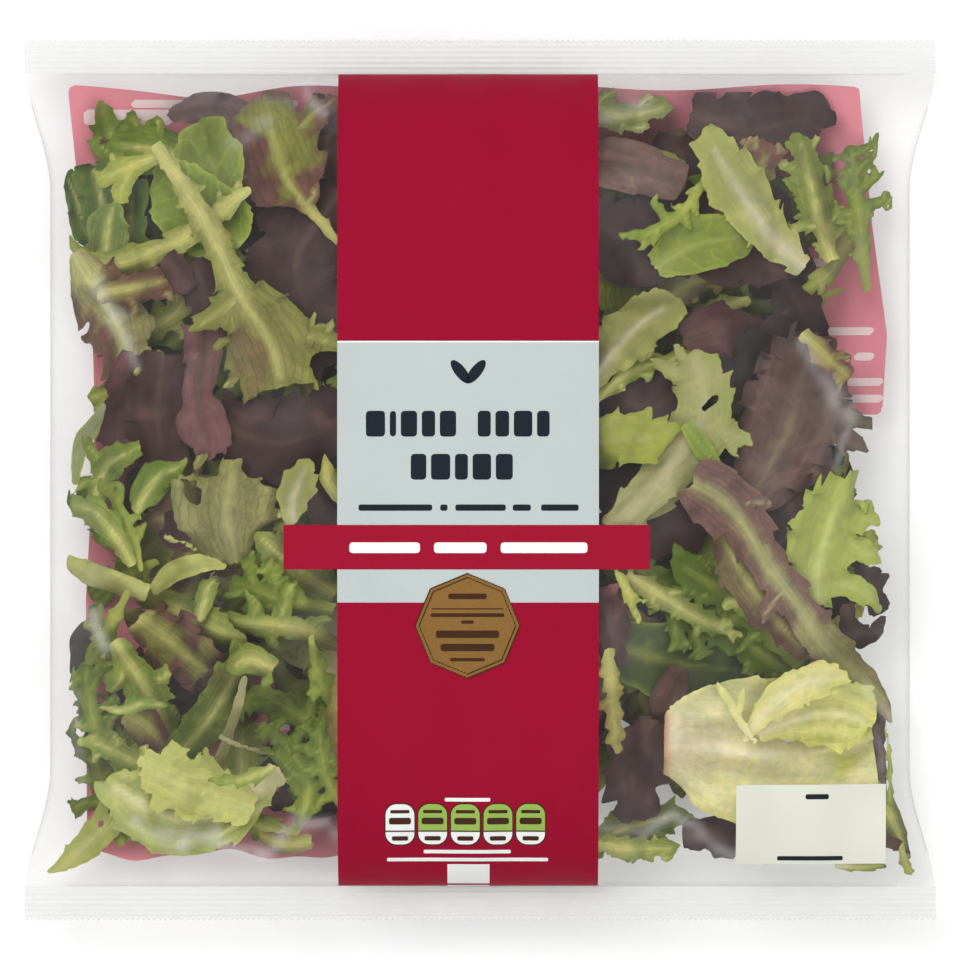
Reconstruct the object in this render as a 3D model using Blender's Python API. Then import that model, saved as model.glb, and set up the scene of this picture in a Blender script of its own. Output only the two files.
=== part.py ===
"""A sealed pillow bag of mixed salad leaves, lying on its back.

The bag is one tube of clear film. Its ends are closed by flat ribbed seals with zigzag-cut edges, and the
film's own join is a fin seal folded flat along the middle of the back. The shut bag is modelled as one solid.

Frame: metres, +Z up, +X across the bag, +Y along it from the bottom seal to the top seal. The origin is
on the surface that the bag lies on, under its centre.
"""

import math

import bmesh
import bpy

# The flat tube and its end seals
BAG_WIDTH = 0.250
BAG_LENGTH = 0.242
SEAL_DEPTH = 0.0095
SEAL_THICKNESS = 0.0010
SEAL_HEIGHT = 0.0200  # of the seals' mid plane above the surface below

# The filled bag: how far its sides pull in, and how far its front and back stand off the seals' plane
SIDE_PULL_IN = 0.0071
PULL_IN_FROM = 0.006  # distances from the bag's end between which the sides pull in
PULL_IN_TO = 0.042
FRONT_RISE = 0.0290
BACK_DROP = 0.0245  # before the surface below flattens it
SWELL_LENGTH = 0.058  # distance from a seal over which the bag swells to its full depth
SWELL_STEEPNESS = 2.4
CROWN = 0.10  # share of the depth that is gained between the full swell and the middle
SECTION_POWER = 2.5  # 2 is an ellipse, and more is a flatter face with rounder edges
CONTACT_BLEND = 0.0020  # height over which the back curves into the flat that it rests on

# Soft gathers that run out of each seal into the faces
GATHER_HEIGHT = 0.0011
GATHER_PITCH = 0.0235
GATHER_REACH = 0.016

# The ribs pressed into the seals, and the teeth of their cut edges
RIB_COUNT = 6
RIB_PITCH = 0.00145
RIB_HEIGHT = 0.00030
RIB_PROFILE = ((0.0, 0), (0.3, 1), (0.6, 0))  # shares of the pitch, and of the height there
FIRST_RIB = 0.0004  # from the seal's inner edge
TEETH = 165
TOOTH_DEPTH = 0.0007

# The back's fin seal
FIN_HALF_WIDTH = 0.0060
FIN_EDGE = 0.0004
FIN_THICKNESS = 0.0004

# Divisions
SEAL_SEGMENTS = 11
FACE_SEGMENTS = 44  # a multiple of SEAL_SEGMENTS
TOOTH_SEGMENTS = 2 * TEETH  # a multiple of SEAL_SEGMENTS
FACE_ROWS = 31
COLUMN_CROWDING = 0.3  # how much closer together columns get towards the sides
BACK_COLUMN_CROWDING = 0.4
ROW_ARC = (0.12, 0.88)  # rows are spaced as the cosine over these shares of a half turn
SHARP_ANGLE = math.radians(35)

FILM_COLOUR = (0.80, 0.83, 0.80, 1.0)
FILM_ROUGHNESS = 0.18

HALF_LENGTH = BAG_LENGTH / 2
HALF_WIDTH = BAG_WIDTH / 2


def smoothstep(low, high, value):
    t = min(1.0, max(0.0, (value - low) / (high - low)))
    return t * t * (3 - 2 * t)


def half_width(y):
    """Half of the bag's width where its length is y: full at the seals, pulled in where the bag is filled."""
    from_end = HALF_LENGTH - abs(y)
    return HALF_WIDTH - SIDE_PULL_IN * smoothstep(PULL_IN_FROM, PULL_IN_TO, from_end)


def swell(y):
    """How full the bag is at y, from 0 at a seal to 1 in the middle."""
    from_seal = max(0.0, HALF_LENGTH - SEAL_DEPTH - abs(y))
    near = min(1.0, from_seal / SWELL_LENGTH)
    rise = math.sqrt(1 - (1 - near) ** SWELL_STEEPNESS)
    middle = from_seal / (HALF_LENGTH - SEAL_DEPTH)
    return rise * (1 - CROWN + CROWN * math.sin(math.pi / 2 * middle))


def section(x, y):
    """The depth of the bag's cross-section at x, from 0 at its side to 1 in the middle."""
    share = min(1.0, abs(x) / half_width(y))
    return math.sqrt(1 - share**SECTION_POWER)


def gather(x, y, phase):
    """The gathers' own relief, strongest a little way out of a seal."""
    from_seal = max(0.0, HALF_LENGTH - SEAL_DEPTH - abs(y))
    reach = from_seal / GATHER_REACH
    strength = reach * math.exp(1 - reach) * section(x, y)
    return GATHER_HEIGHT * strength * math.cos(2 * math.pi * x / GATHER_PITCH + phase)


def front(x, y):
    above = FRONT_RISE * swell(y) * section(x, y) + gather(x, y, phase=0.4)
    return SEAL_HEIGHT + SEAL_THICKNESS / 2 + above


def pressed_flat(z):
    """The height z of the back where the surface below lets it hang free, and 0 where it lies flat."""
    if z > CONTACT_BLEND:
        return z
    return max(0.0, z + CONTACT_BLEND) ** 2 / (4 * CONTACT_BLEND)


def back(x, y):
    below = BACK_DROP * swell(y) * section(x, y) + gather(x, y, phase=1.9)
    film = pressed_flat(SEAL_HEIGHT - SEAL_THICKNESS / 2 - below)
    beside_fin = min(1.0, max(0.0, (abs(x) - FIN_HALF_WIDTH) / FIN_EDGE))
    from_seal = HALF_LENGTH - SEAL_DEPTH - abs(y)
    return film + FIN_THICKNESS * beside_fin * smoothstep(0, SEAL_DEPTH, from_seal) * section(x, y)


def crowded(share, crowding):
    """A share of the way to the side, moved so that even steps get shorter towards the side."""
    return (1 - crowding) * share + crowding * math.sin(math.pi / 2 * share)


def front_columns(y):
    """Where the front's columns cross y, closer together towards the sides."""
    shares = [2 * i / FACE_SEGMENTS - 1 for i in range(FACE_SEGMENTS + 1)]
    return [half_width(y) * crowded(s, COLUMN_CROWDING) for s in shares]


def back_columns(y):
    """Where the back's columns cross y: two on each edge of the fin, and the rest spread to the sides."""
    outer_segments = FACE_SEGMENTS // 2 - 2
    fin = FIN_HALF_WIDTH + FIN_EDGE
    reach = half_width(y) - fin
    shares = [i / outer_segments for i in range(outer_segments + 1)]
    outer = [fin + reach * crowded(s, BACK_COLUMN_CROWDING) for s in shares]
    right = [FIN_HALF_WIDTH, *outer]
    return [-x for x in reversed(right)] + [0.0] + right


def face_row(columns, height, y):
    return [(x, y, height(x, y)) for x in columns(y)]


def seal_rows(columns, side, relief_side):
    """One face of a seal, from its inner edge outwards: ribs with flat valleys, then the row of teeth."""
    rows = []
    inner = HALF_LENGTH - SEAL_DEPTH
    step = FACE_SEGMENTS // SEAL_SEGMENTS
    for rib in range(RIB_COUNT):
        start = inner + FIRST_RIB + rib * RIB_PITCH
        for share, raised in RIB_PROFILE:
            y = start + share * RIB_PITCH
            z = SEAL_HEIGHT + relief_side * (SEAL_THICKNESS / 2) + raised * RIB_HEIGHT
            rows.append([(x, side * y, z) for x in columns(y)[::step]])
    rows.append(tooth_row(side, SEAL_HEIGHT + relief_side * SEAL_THICKNESS / 2))
    return rows


def tooth_row(side, z):
    """The zigzag edge of a seal: it runs between valleys and tips across the whole width."""
    row = []
    for i in range(TOOTH_SEGMENTS + 1):
        x = HALF_WIDTH * (2 * i / TOOTH_SEGMENTS - 1)
        row.append((x, side * (HALF_LENGTH - (TOOTH_DEPTH if i % 2 == 0 else 0)), z))
    return row


def sheet_rows(columns, height, relief_side):
    """All rows of the front or the back, from the bottom seal's teeth to the top seal's teeth."""
    inner = HALF_LENGTH - SEAL_DEPTH
    start, end = ROW_ARC
    turns = [start + (end - start) * j / (FACE_ROWS - 1) for j in range(FACE_ROWS)]
    cosines = [-math.cos(math.pi * turn) for turn in turns]
    faces = [face_row(columns, height, inner * c / cosines[-1]) for c in cosines]
    bottom = seal_rows(columns, -1, relief_side)
    top = seal_rows(columns, 1, relief_side)
    return [*reversed(bottom), *faces, *top]


def strip(mesh, lower, upper, outwards):
    """Faces between two rows. Where one row has more segments, each face takes several of them."""
    coarse = math.gcd(len(lower) - 1, len(upper) - 1)
    low_step = (len(lower) - 1) // coarse
    up_step = (len(upper) - 1) // coarse
    for i in range(coarse):
        low = lower[i * low_step : (i + 1) * low_step + 1]
        up = upper[i * up_step : (i + 1) * up_step + 1]
        corners = low + up[::-1]
        mesh.faces.new(corners if outwards else corners[::-1])


def build_bag():
    mesh = bmesh.new()
    sheets = []
    for columns, height, relief_side in ((front_columns, front, 1), (back_columns, back, -1)):
        rows = [[mesh.verts.new(p) for p in row] for row in sheet_rows(columns, height, relief_side)]
        for lower, upper in zip(rows, rows[1:]):
            strip(mesh, lower, upper, outwards=relief_side > 0)
        sheets.append(rows)
    front_rows, back_rows = sheets
    for column, turned in ((0, False), (-1, True)):
        over = [row[column] for row in front_rows]
        under = [row[column] for row in back_rows]
        strip(mesh, over, under, outwards=turned)
    strip(mesh, front_rows[0], back_rows[0], outwards=False)
    strip(mesh, front_rows[-1], back_rows[-1], outwards=True)
    bmesh.ops.recalc_face_normals(mesh, faces=mesh.faces)
    data = bpy.data.meshes.new("salad_bag")
    mesh.to_mesh(data)
    mesh.free()
    data.shade_smooth()
    data.set_sharp_from_angle(angle=SHARP_ANGLE)
    bag = bpy.data.objects.new("salad_bag", data)
    bpy.context.collection.objects.link(bag)
    return bag


def film_material():
    material = bpy.data.materials.new("clear_film")
    material.use_nodes = True
    shader = material.node_tree.nodes["Principled BSDF"]
    shader.inputs["Base Color"].default_value = FILM_COLOUR
    shader.inputs["Roughness"].default_value = FILM_ROUGHNESS
    shader.inputs["Metallic"].default_value = 0.0
    return material


def main():
    for old in list(bpy.data.objects):
        bpy.data.objects.remove(old)
    bag = build_bag()
    bag.data.materials.append(film_material())


main()
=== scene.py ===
"""The looks of a sealed bag of mixed salad leaves: clear film, its print, and the leaves that it holds.

Sizes are in millimetres, from the middle of the bag's outline and from the surface that it lies on. They
become metres when a mesh is made.
"""

import math

import bpy
import numpy as np
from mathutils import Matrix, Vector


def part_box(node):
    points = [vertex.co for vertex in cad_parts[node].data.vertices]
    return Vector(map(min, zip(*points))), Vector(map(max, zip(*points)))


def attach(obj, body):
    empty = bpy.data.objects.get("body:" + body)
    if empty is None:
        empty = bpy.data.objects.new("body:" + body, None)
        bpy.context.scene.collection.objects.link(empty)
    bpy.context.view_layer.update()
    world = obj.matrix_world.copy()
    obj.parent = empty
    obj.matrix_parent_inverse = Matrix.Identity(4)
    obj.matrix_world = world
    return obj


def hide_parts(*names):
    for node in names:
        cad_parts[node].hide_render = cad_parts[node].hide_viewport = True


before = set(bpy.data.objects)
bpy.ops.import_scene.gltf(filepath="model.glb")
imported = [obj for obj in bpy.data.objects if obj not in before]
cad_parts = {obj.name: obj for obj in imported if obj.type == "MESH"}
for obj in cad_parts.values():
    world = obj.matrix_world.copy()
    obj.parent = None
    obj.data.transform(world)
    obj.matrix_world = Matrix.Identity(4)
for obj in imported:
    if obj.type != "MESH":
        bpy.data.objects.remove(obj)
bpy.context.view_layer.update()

# ---------------------------------------------------------------- the bag's shape, as in the CAD solid

MM = 0.001
LOW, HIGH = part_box("salad_bag")
CENTRE = np.array([(LOW.x + HIGH.x) / 2, (LOW.y + HIGH.y) / 2, LOW.z]) / MM
HALF_WIDTH = (HIGH.x - LOW.x) / 2 / MM
HALF_LENGTH = (HIGH.y - LOW.y) / 2 / MM
BAG_HEIGHT = (HIGH.z - LOW.z) / MM
SEAL_DEPTH = 9.5
SEAL_HEIGHT = 20.0
INNER = HALF_LENGTH - SEAL_DEPTH  # from the middle to a seal's inner edge
SIDE_PULL_IN = 7.1
PULL_IN_FROM = 6.0
PULL_IN_TO = 42.0
FRONT_RISE = BAG_HEIGHT - SEAL_HEIGHT
BACK_DROP = 24.5
SWELL_LENGTH = 58.0
SWELL_STEEPNESS = 2.4
CROWN = 0.10
SECTION_POWER = 2.5
CONTACT_BLEND = 2.0
FIN_HALF_WIDTH = 6.0
FIN_THICKNESS = 0.4
GATHER_PITCH = 23.5
GATHER_HEIGHT = 1.1
GATHER_REACH = 16.0
TEETH = 165
TOOTH_DEPTH = 0.7
RIB_PITCH = 1.45
RIB_COUNT = 6

# What the thin film has and the CAD solid leaves out: pleats beside each seal, and ripples along the sides
PLEATS = 16
PLEAT_LENGTH = (16, 52)
PLEAT_WIDTH = (1.3, 3.2)
PLEAT_HEIGHT = (0.25, 0.85)
BACK_PLEATS = 0.6  # how high the back's pleats are, as a share of the front's
RIPPLE_HEIGHT = 0.55
RIPPLE_PITCH = 13
FRONT_PHASE = 0.4  # of the gathers
BACK_PHASE = 1.9


def smoothstep(low, high, value):
    """0 below low, 1 above high, and a smooth rise between them."""
    t = np.clip((value - low) / (high - low), 0, 1)
    return t * t * (3 - 2 * t)


def half_width(y):
    """Half of the bag's width at y: full at the seals, pulled in where the bag is filled."""
    return HALF_WIDTH - SIDE_PULL_IN * smoothstep(PULL_IN_FROM, PULL_IN_TO, HALF_LENGTH - np.abs(y))


def swell(y):
    """How full the bag is at y, from 0 at a seal to 1 in the middle."""
    from_seal = np.maximum(0, INNER - np.abs(y))
    near = np.minimum(1, from_seal / SWELL_LENGTH)
    rise = np.sqrt(1 - (1 - near) ** SWELL_STEEPNESS)
    return rise * (1 - CROWN + CROWN * np.sin(math.pi / 2 * from_seal / INNER))


def section(x, y):
    """The depth of the bag's cross-section at x, from 0 at its side to 1 in the middle."""
    return np.sqrt(1 - np.minimum(1, np.abs(x) / half_width(y)) ** SECTION_POWER)


def gather(x, y, phase):
    """Soft gathers that run out of each seal into the faces."""
    reach = np.maximum(0, INNER - np.abs(y)) / GATHER_REACH
    strength = reach * np.exp(1 - reach) * section(x, y)
    return GATHER_HEIGHT * strength * np.cos(2 * math.pi * x / GATHER_PITCH + phase)


def pleats(x, y, seed):
    """Narrow creases in the film, which fan out of each seal and fade."""
    rng = np.random.default_rng(seed)
    relief = np.zeros(np.broadcast(x, y).shape)
    for side in (-1, 1):
        from_seal = np.maximum(0, INNER - side * y)
        for _ in range(PLEATS):
            start = rng.uniform(-0.95, 0.95) * HALF_WIDTH
            lean = rng.normal(0, 0.25) - 0.5 * start / HALF_WIDTH
            length = rng.uniform(*PLEAT_LENGTH)
            width = rng.uniform(*PLEAT_WIDTH)
            height = rng.uniform(*PLEAT_HEIGHT) * rng.choice((-1, 1))
            across = (x - start - lean * from_seal) / (width + 0.05 * from_seal)
            fade = smoothstep(0, 4, from_seal) * np.maximum(0, 1 - from_seal / length) ** 1.5
            relief = relief + height * np.exp(-across * across) * fade
    return relief * section(x, y)


def side_ripples(x, y, seed):
    """Shallow ripples across the sides, where the film pulls in between the seals."""
    near_side = smoothstep(0.72, 0.96, np.abs(x) / half_width(y)) * section(x, y)
    phase = line_noise(y / 21, seed + (x > 0)) * 5
    return RIPPLE_HEIGHT * near_side * np.sin(2 * math.pi * y / RIPPLE_PITCH + phase)


def front(x, y):
    """The height of the front film."""
    fine = pleats(x, y, 11) + side_ripples(x, y, 12)
    return SEAL_HEIGHT + FRONT_RISE * swell(y) * section(x, y) + gather(x, y, FRONT_PHASE) + fine


def back(x, y):
    """The height of the back film, which lies flat where the surface below holds it up."""
    below = BACK_DROP * swell(y) * section(x, y) + gather(x, y, BACK_PHASE) + BACK_PLEATS * pleats(x, y, 21)
    z = SEAL_HEIGHT - below
    pressed = np.maximum(0, z + CONTACT_BLEND) ** 2 / (4 * CONTACT_BLEND)
    return np.where(z > CONTACT_BLEND, z, pressed) + FIN_THICKNESS * section(x, y)


# ---------------------------------------------------------------- noise

NOISE_LENGTH = 4096
NOISE_SIDE = 64


def line_noise(x, seed):
    """Smooth noise along a line, from -1 to 1, that changes about once a unit."""
    table = np.random.default_rng(9).uniform(-1, 1, NOISE_LENGTH)
    cell = np.floor(x).astype(int)
    t = x - cell
    t = t * t * (3 - 2 * t)
    at = cell + 97 * np.asarray(seed)
    return table[at % NOISE_LENGTH] * (1 - t) + table[(at + 1) % NOISE_LENGTH] * t


def plane_noise(x, y, seed):
    """Smooth noise over a plane, from -1 to 1, that changes about once a unit."""
    table = np.random.default_rng(seed).uniform(-1, 1, (NOISE_SIDE, NOISE_SIDE))
    i, j = np.floor(x).astype(int), np.floor(y).astype(int)
    s, t = x - i, y - j
    s, t = s * s * (3 - 2 * s), t * t * (3 - 2 * t)
    i, j, right, above = (k % NOISE_SIDE for k in (i, j, i + 1, j + 1))
    low = table[i, j] * (1 - s) + table[right, j] * s
    high = table[i, above] * (1 - s) + table[right, above] * s
    return low * (1 - t) + high * t


# ---------------------------------------------------------------- meshes

ON_THE_LINE = 1e-3  # a grid point this near to an outline counts as inside it
ISLAND_PASSES = 400
SHARP_ANGLE = math.radians(50)


def cut_grid(f, fields):
    """The part of a grid where f is below 0, in triangles cut along f = 0, and the fields at its points."""
    f = np.where(np.abs(f) < ON_THE_LINE, -ON_THE_LINE, f)
    inside = f < 0
    number = np.full(f.shape, -1)
    number[inside] = np.arange(inside.sum())
    values = [field[inside] for field in fields]
    count = int(inside.sum())

    def crossings(a, b):
        """Adds a point where a grid line from a to b crosses the outline, and returns the numbers."""
        nonlocal count
        cut = inside[a] != inside[b]
        ids = np.full(cut.shape, -1)
        ids[cut] = count + np.arange(cut.sum())
        count += int(cut.sum())
        share = f[a][cut] / (f[a][cut] - f[b][cut])
        for k, field in enumerate(fields):
            low, high = field[a][cut], field[b][cut]
            values[k] = np.concatenate([values[k], low + share * (high - low)])
        return ids

    whole, lower, upper = slice(None), slice(0, -1), slice(1, None)
    along = crossings((whole, lower), (whole, upper))
    up = crossings((lower, whole), (upper, whole))
    slant = crossings((lower, lower), (upper, upper))
    a, b = number[:-1, :-1], number[:-1, 1:]
    c, d = number[1:, 1:], number[1:, :-1]
    halves = (
        ((a, b, c), (along[:-1], up[:, 1:], slant)),
        ((a, c, d), (slant, along[1:], up[:, :-1])),
    )
    faces = []
    for corners, edges in halves:
        v = [k.ravel() for k in corners]
        e = [k.ravel() for k in edges]
        kept = [k >= 0 for k in v]
        full = kept[0] & kept[1] & kept[2]
        faces.append(np.stack([k[full] for k in v], 1))
        for k in range(3):
            m, n = (k + 1) % 3, (k + 2) % 3
            one = kept[k] & ~kept[m] & ~kept[n]
            faces.append(np.stack([v[k][one], e[k][one], e[n][one]], 1))
            two = ~kept[k] & kept[m] & kept[n]
            faces.append(np.stack([v[m][two], v[n][two], e[n][two]], 1))
            faces.append(np.stack([v[m][two], e[n][two], e[k][two]], 1))
    return values, np.concatenate(faces)


def main_islands(faces, count, least):
    """The faces without the small islands that a jagged outline leaves beside it."""
    label = np.arange(count)
    for _ in range(ISLAND_PASSES):
        low = label[faces].min(1)
        new = label.copy()
        for k in range(3):
            np.minimum.at(new, faces[:, k], low)
        new = new[new]
        if (new == label).all():
            break
        label = new
    owner = label[faces[:, 0]]
    sizes = np.bincount(owner, minlength=count)
    return faces[sizes[owner] >= least]


def compact(values, faces):
    """The same mesh without the points that no face uses."""
    used = np.unique(faces)
    renumber = np.full(len(values[0]), -1)
    renumber[used] = np.arange(len(used))
    return [v[used] for v in values], renumber[faces]


def closed(faces, count):
    """Top and bottom sheets of the same triangles, and the narrow walls that join them."""
    edges = np.concatenate([faces[:, [0, 1]], faces[:, [1, 2]], faces[:, [2, 0]]])
    keys = edges[:, 0].astype(np.int64) * count + edges[:, 1]
    reverse = edges[:, 1].astype(np.int64) * count + edges[:, 0]
    rim = edges[~np.isin(keys, reverse)]
    a, b = rim[:, 0], rim[:, 1]
    walls = np.concatenate([np.stack([a, a + count, b + count], 1), np.stack([a, b + count, b], 1)])
    return np.concatenate([faces, faces[:, ::-1] + count, walls])


def mesh_object(name, points, faces, attributes=()):
    """A mesh piece, from points in millimetres. attributes holds (name, type, values) for its points."""
    mesh = bpy.data.meshes.new(name)
    mesh.vertices.add(len(points))
    mesh.vertices.foreach_set("co", ((points + CENTRE) * MM).astype(np.float32).ravel())
    sides = faces.shape[1]
    mesh.loops.add(faces.size)
    mesh.loops.foreach_set("vertex_index", faces.astype(np.int32).ravel())
    mesh.polygons.add(len(faces))
    mesh.polygons.foreach_set("loop_start", np.arange(0, faces.size, sides, dtype=np.int32))
    mesh.polygons.foreach_set("use_smooth", np.ones(len(faces), bool))
    mesh.update(calc_edges=True)
    for label, kind, values in attributes:
        attribute = mesh.attributes.new(label, kind, "POINT")
        field = "color" if kind == "FLOAT_COLOR" else "vector"
        attribute.data.foreach_set(field, values.astype(np.float32).ravel())
    mesh.validate()
    mesh.set_sharp_from_angle(angle=SHARP_ANGLE)
    piece = bpy.data.objects.new(name, mesh)
    bpy.context.scene.collection.objects.link(piece)
    return piece


def finish_piece(piece, material, slot):
    piece.data.materials.append(material)
    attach(piece, "root")


# ---------------------------------------------------------------- materials


def colour(red, green, blue):
    """A colour as it looks on a screen, from 0 to 255, turned into the linear values that shaders take."""
    values = np.array([red, green, blue]) / 255
    linear = np.where(values <= 0.04045, values / 12.92, ((values + 0.055) / 1.055) ** 2.4)
    return (*linear.tolist(), 1.0)


class Graph:
    """A material's node tree, with short ways to add nodes and feed their inputs."""

    def __init__(self, name):
        self.material = bpy.data.materials.new(name)
        self.material.use_nodes = True
        self.nodes = self.material.node_tree.nodes
        self.links = self.material.node_tree.links
        self.nodes.clear()

    def feed(self, socket, value):
        if isinstance(value, bpy.types.NodeSocket):
            self.links.new(value, socket)
        elif value is not None:
            socket.default_value = value

    def add(self, kind, settings=(), output=0, **inputs):
        node = self.nodes.new("ShaderNode" + kind)
        for key, value in dict(settings).items():
            setattr(node, key, value)
        for key, value in inputs.items():
            self.feed(node.inputs[key.replace("_", " ")], value)
        return node.outputs[output]

    def math(self, operation, a, b=None, c=None):
        node = self.nodes.new("ShaderNodeMath")
        node.operation = operation
        for socket, value in zip(node.inputs, (a, b, c)):
            self.feed(socket, value)
        return node.outputs[0]

    def blend(self, share, a, b, blend_type="MIX"):
        node = self.nodes.new("ShaderNodeMix")
        node.data_type = "RGBA"
        node.blend_type = blend_type
        for index, value in ((0, share), (6, a), (7, b)):
            self.feed(node.inputs[index], value)
        return node.outputs[2]

    def ramp(self, value, low, high, to_low=0.0, to_high=1.0):
        return self.add(
            "MapRange",
            {"interpolation_type": "SMOOTHSTEP"},
            Value=value,
            From_Min=low,
            From_Max=high,
            To_Min=to_low,
            To_Max=to_high,
        )

    def noise(self, vector, scale, detail=2.0, roughness=0.5):
        return self.add("TexNoise", Vector=vector, Scale=scale, Detail=detail, Roughness=roughness)

    def bump(self, height, distance, strength=1.0):
        return self.add("Bump", Height=height, Distance=distance, Strength=strength)

    def principled(self, **inputs):
        return self.add("BsdfPrincipled", **inputs)

    def mix(self, share, a, b):
        node = self.nodes.new("ShaderNodeMixShader")
        for socket, value in zip(node.inputs, (share, a, b)):
            self.feed(socket, value)
        return node.outputs[0]

    def end(self, shader):
        out = self.nodes.new("ShaderNodeOutputMaterial")
        self.links.new(shader, out.inputs["Surface"])
        return self.material


def leaf_material(name, fan, pinnate, net, line_tone, streak, roughness, shine, through):
    """A leaf: the mesh gives its tint, and the place on the leaf its veins, net, streaks and gloss.

    fan, pinnate and net are the strengths of the veins that run along the leaf, of those that leave its rib
    sideways, and of the fine mesh between them. line_tone above 1 makes veins paler than the leaf, streak
    is how much the leaf's tone varies, and through is the share of light that goes through it.
    """
    g = Graph(name)
    tint = g.add("Attribute", {"attribute_name": "tint"})
    place = g.add("Attribute", {"attribute_name": "leaf"}, output=1)
    parts = g.nodes.new("ShaderNodeSeparateXYZ")
    g.feed(parts.inputs[0], place)
    along, across, share = parts.outputs

    flat = g.add("CombineXYZ", X=along, Y=across, Z=0.0)
    drift = g.add("CombineXYZ", X=g.math("MULTIPLY", along, 0.11), Y=g.math("MULTIPLY", share, 1.6), Z=0.0)
    wobble = g.math("SUBTRACT", g.noise(drift, 1.0, 3.0), 0.5)
    clear_of_rib = g.ramp(g.math("ABSOLUTE", across), 0.4, 2.4)
    fan_turn = g.math("MULTIPLY_ADD", share, 6.0, g.math("MULTIPLY", wobble, 2.8))
    fan_line = g.ramp(g.math("PINGPONG", fan_turn, 0.5), 0.03, 0.16, 1.0, 0.0)
    swept = g.math("MULTIPLY_ADD", g.math("ABSOLUTE", across), -0.85, along)
    side_turn = g.math("MULTIPLY_ADD", swept, 1 / 6.5, g.math("MULTIPLY", wobble, 1.3))
    side_line = g.ramp(g.math("PINGPONG", side_turn, 0.5), 0.02, 0.11, 1.0, 0.0)
    cells = g.add("TexVoronoi", {"feature": "DISTANCE_TO_EDGE"}, Vector=flat, Scale=1 / 3.0)
    net_line = g.ramp(cells, 0.0, 0.17, 1.0, 0.0)
    lines = g.math("MULTIPLY", fan_line, fan)
    lines = g.math("MAXIMUM", lines, g.math("MULTIPLY", side_line, pinnate))
    lines = g.math("MAXIMUM", lines, g.math("MULTIPLY", net_line, net))
    lines = g.math("MULTIPLY", lines, clear_of_rib)

    stretched = {"X": (along, 0.06), "Y": (share, 4.0), "Z": (across, 0.3)}
    grain = g.add("CombineXYZ", **{axis: g.math("MULTIPLY", *pair) for axis, pair in stretched.items()})
    streaks = g.noise(grain, 1.3, 2.0, 0.6)
    fine = g.noise(flat, 0.5, 0.0)
    broad = g.noise(flat, 0.17, 3.0, 0.55)

    lined = g.blend(1.0, tint, (line_tone, line_tone, line_tone * 0.92, 1.0), "MULTIPLY")
    base = g.blend(lines, tint, lined)
    value = g.ramp(broad, 0.25, 0.75, 1 - streak, 1 + streak)
    value = g.math("MULTIPLY", value, g.ramp(fine, 0.2, 0.8, 0.96, 1.04))
    value = g.math("MULTIPLY", value, g.ramp(streaks, 0.25, 0.75, 1 - streak, 1 + streak))
    warm = g.math("MULTIPLY", value, g.ramp(broad, 0.3, 0.7, 0.96, 1.04))
    grey = g.add("CombineColor", Red=warm, Green=value, Blue=value)
    base = g.blend(1.0, base, grey, "MULTIPLY")

    height = g.math("MULTIPLY_ADD", streaks, 0.5, g.math("MULTIPLY", fine, 0.3))
    normal = g.bump(height, 0.00025, 0.6)
    rough = g.ramp(fine, 0.2, 0.8, roughness - 0.06, roughness + 0.08)
    skin = g.principled(Base_Color=base, Roughness=rough, Specular_IOR_Level=shine, Normal=normal)
    glow = g.blend(1.0, base, (1.20, 1.28, 0.70, 1.0), "MULTIPLY")
    back_lit = g.add("BsdfTranslucent", Color=glow, Normal=normal)
    return g.end(g.mix(through, skin, back_lit))


FILM_SHINE = 0.02


def film_material(name, haze_low, haze_high, edge_haze, whiteness):
    """Clear film: a thin milky haze, thicker where the film turns away, under a faint gloss.

    The mesh's attribute for painted glints, where there is one, adds to the haze: painted highlights where
    creases of the film would catch the light.
    """
    g = Graph(name)
    place = g.add("TexCoord", output=3)
    clouds = g.noise(place, 42.0, 3.0, 0.55)
    haze = g.ramp(clouds, 0.35, 0.75, haze_low, haze_high)
    turned = g.add("LayerWeight", output=1, Blend=0.5)
    haze = g.math("MULTIPLY_ADD", g.math("POWER", turned, 2.2), edge_haze, haze)
    # painted highlights: the mesh's painted glints add white haze where creases would catch the light
    haze = g.math("ADD", haze, g.add("Attribute", {"attribute_name": "painted_glint"}, output=2))
    clear = g.add("BsdfTransparent", Color=(0.955, 0.955, 0.95, 1.0))
    gloss = g.add("BsdfGlossy", Color=(1, 1, 1, 1), Roughness=0.12)
    milk = g.add("BsdfDiffuse", Color=(whiteness, whiteness, whiteness, 1.0))
    return g.end(g.mix(haze, g.mix(FILM_SHINE, clear, gloss), milk))


def ink_material(name, ink, speckle=0.04, roughness=0.5, clear_share=0.0):
    """Printed ink with a faint grain and a soft uneven gloss. clear_share of it lets the film show."""
    g = Graph(name)
    place = g.add("TexCoord", output=3)
    grain = g.noise(place, 1800.0, 2.0)
    broad = g.noise(place, 40.0, 3.0)
    speckled = g.ramp(grain, 0.2, 0.8, 1 - speckle, 1 + speckle)
    value = g.math("MULTIPLY", speckled, g.ramp(broad, 0.2, 0.8, 0.97, 1.03))
    grey = g.add("CombineColor", Red=value, Green=value, Blue=value)
    base = g.blend(1.0, ink, grey, "MULTIPLY")
    normal = g.bump(broad, 0.0004, 0.3)
    rough = g.ramp(broad, 0.2, 0.8, roughness - 0.05, roughness + 0.06)
    skin = g.principled(Base_Color=base, Roughness=rough, Specular_IOR_Level=0.05, Normal=normal)
    if clear_share:
        clear = g.add("BsdfTransparent", Color=(1, 1, 1, 1))
        dots = g.ramp(grain, 0.35, 0.65, 0.6 * clear_share, 1.4 * clear_share)
        return g.end(g.mix(dots, skin, clear))
    return g.end(skin)


# ---------------------------------------------------------------- leaves

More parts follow.
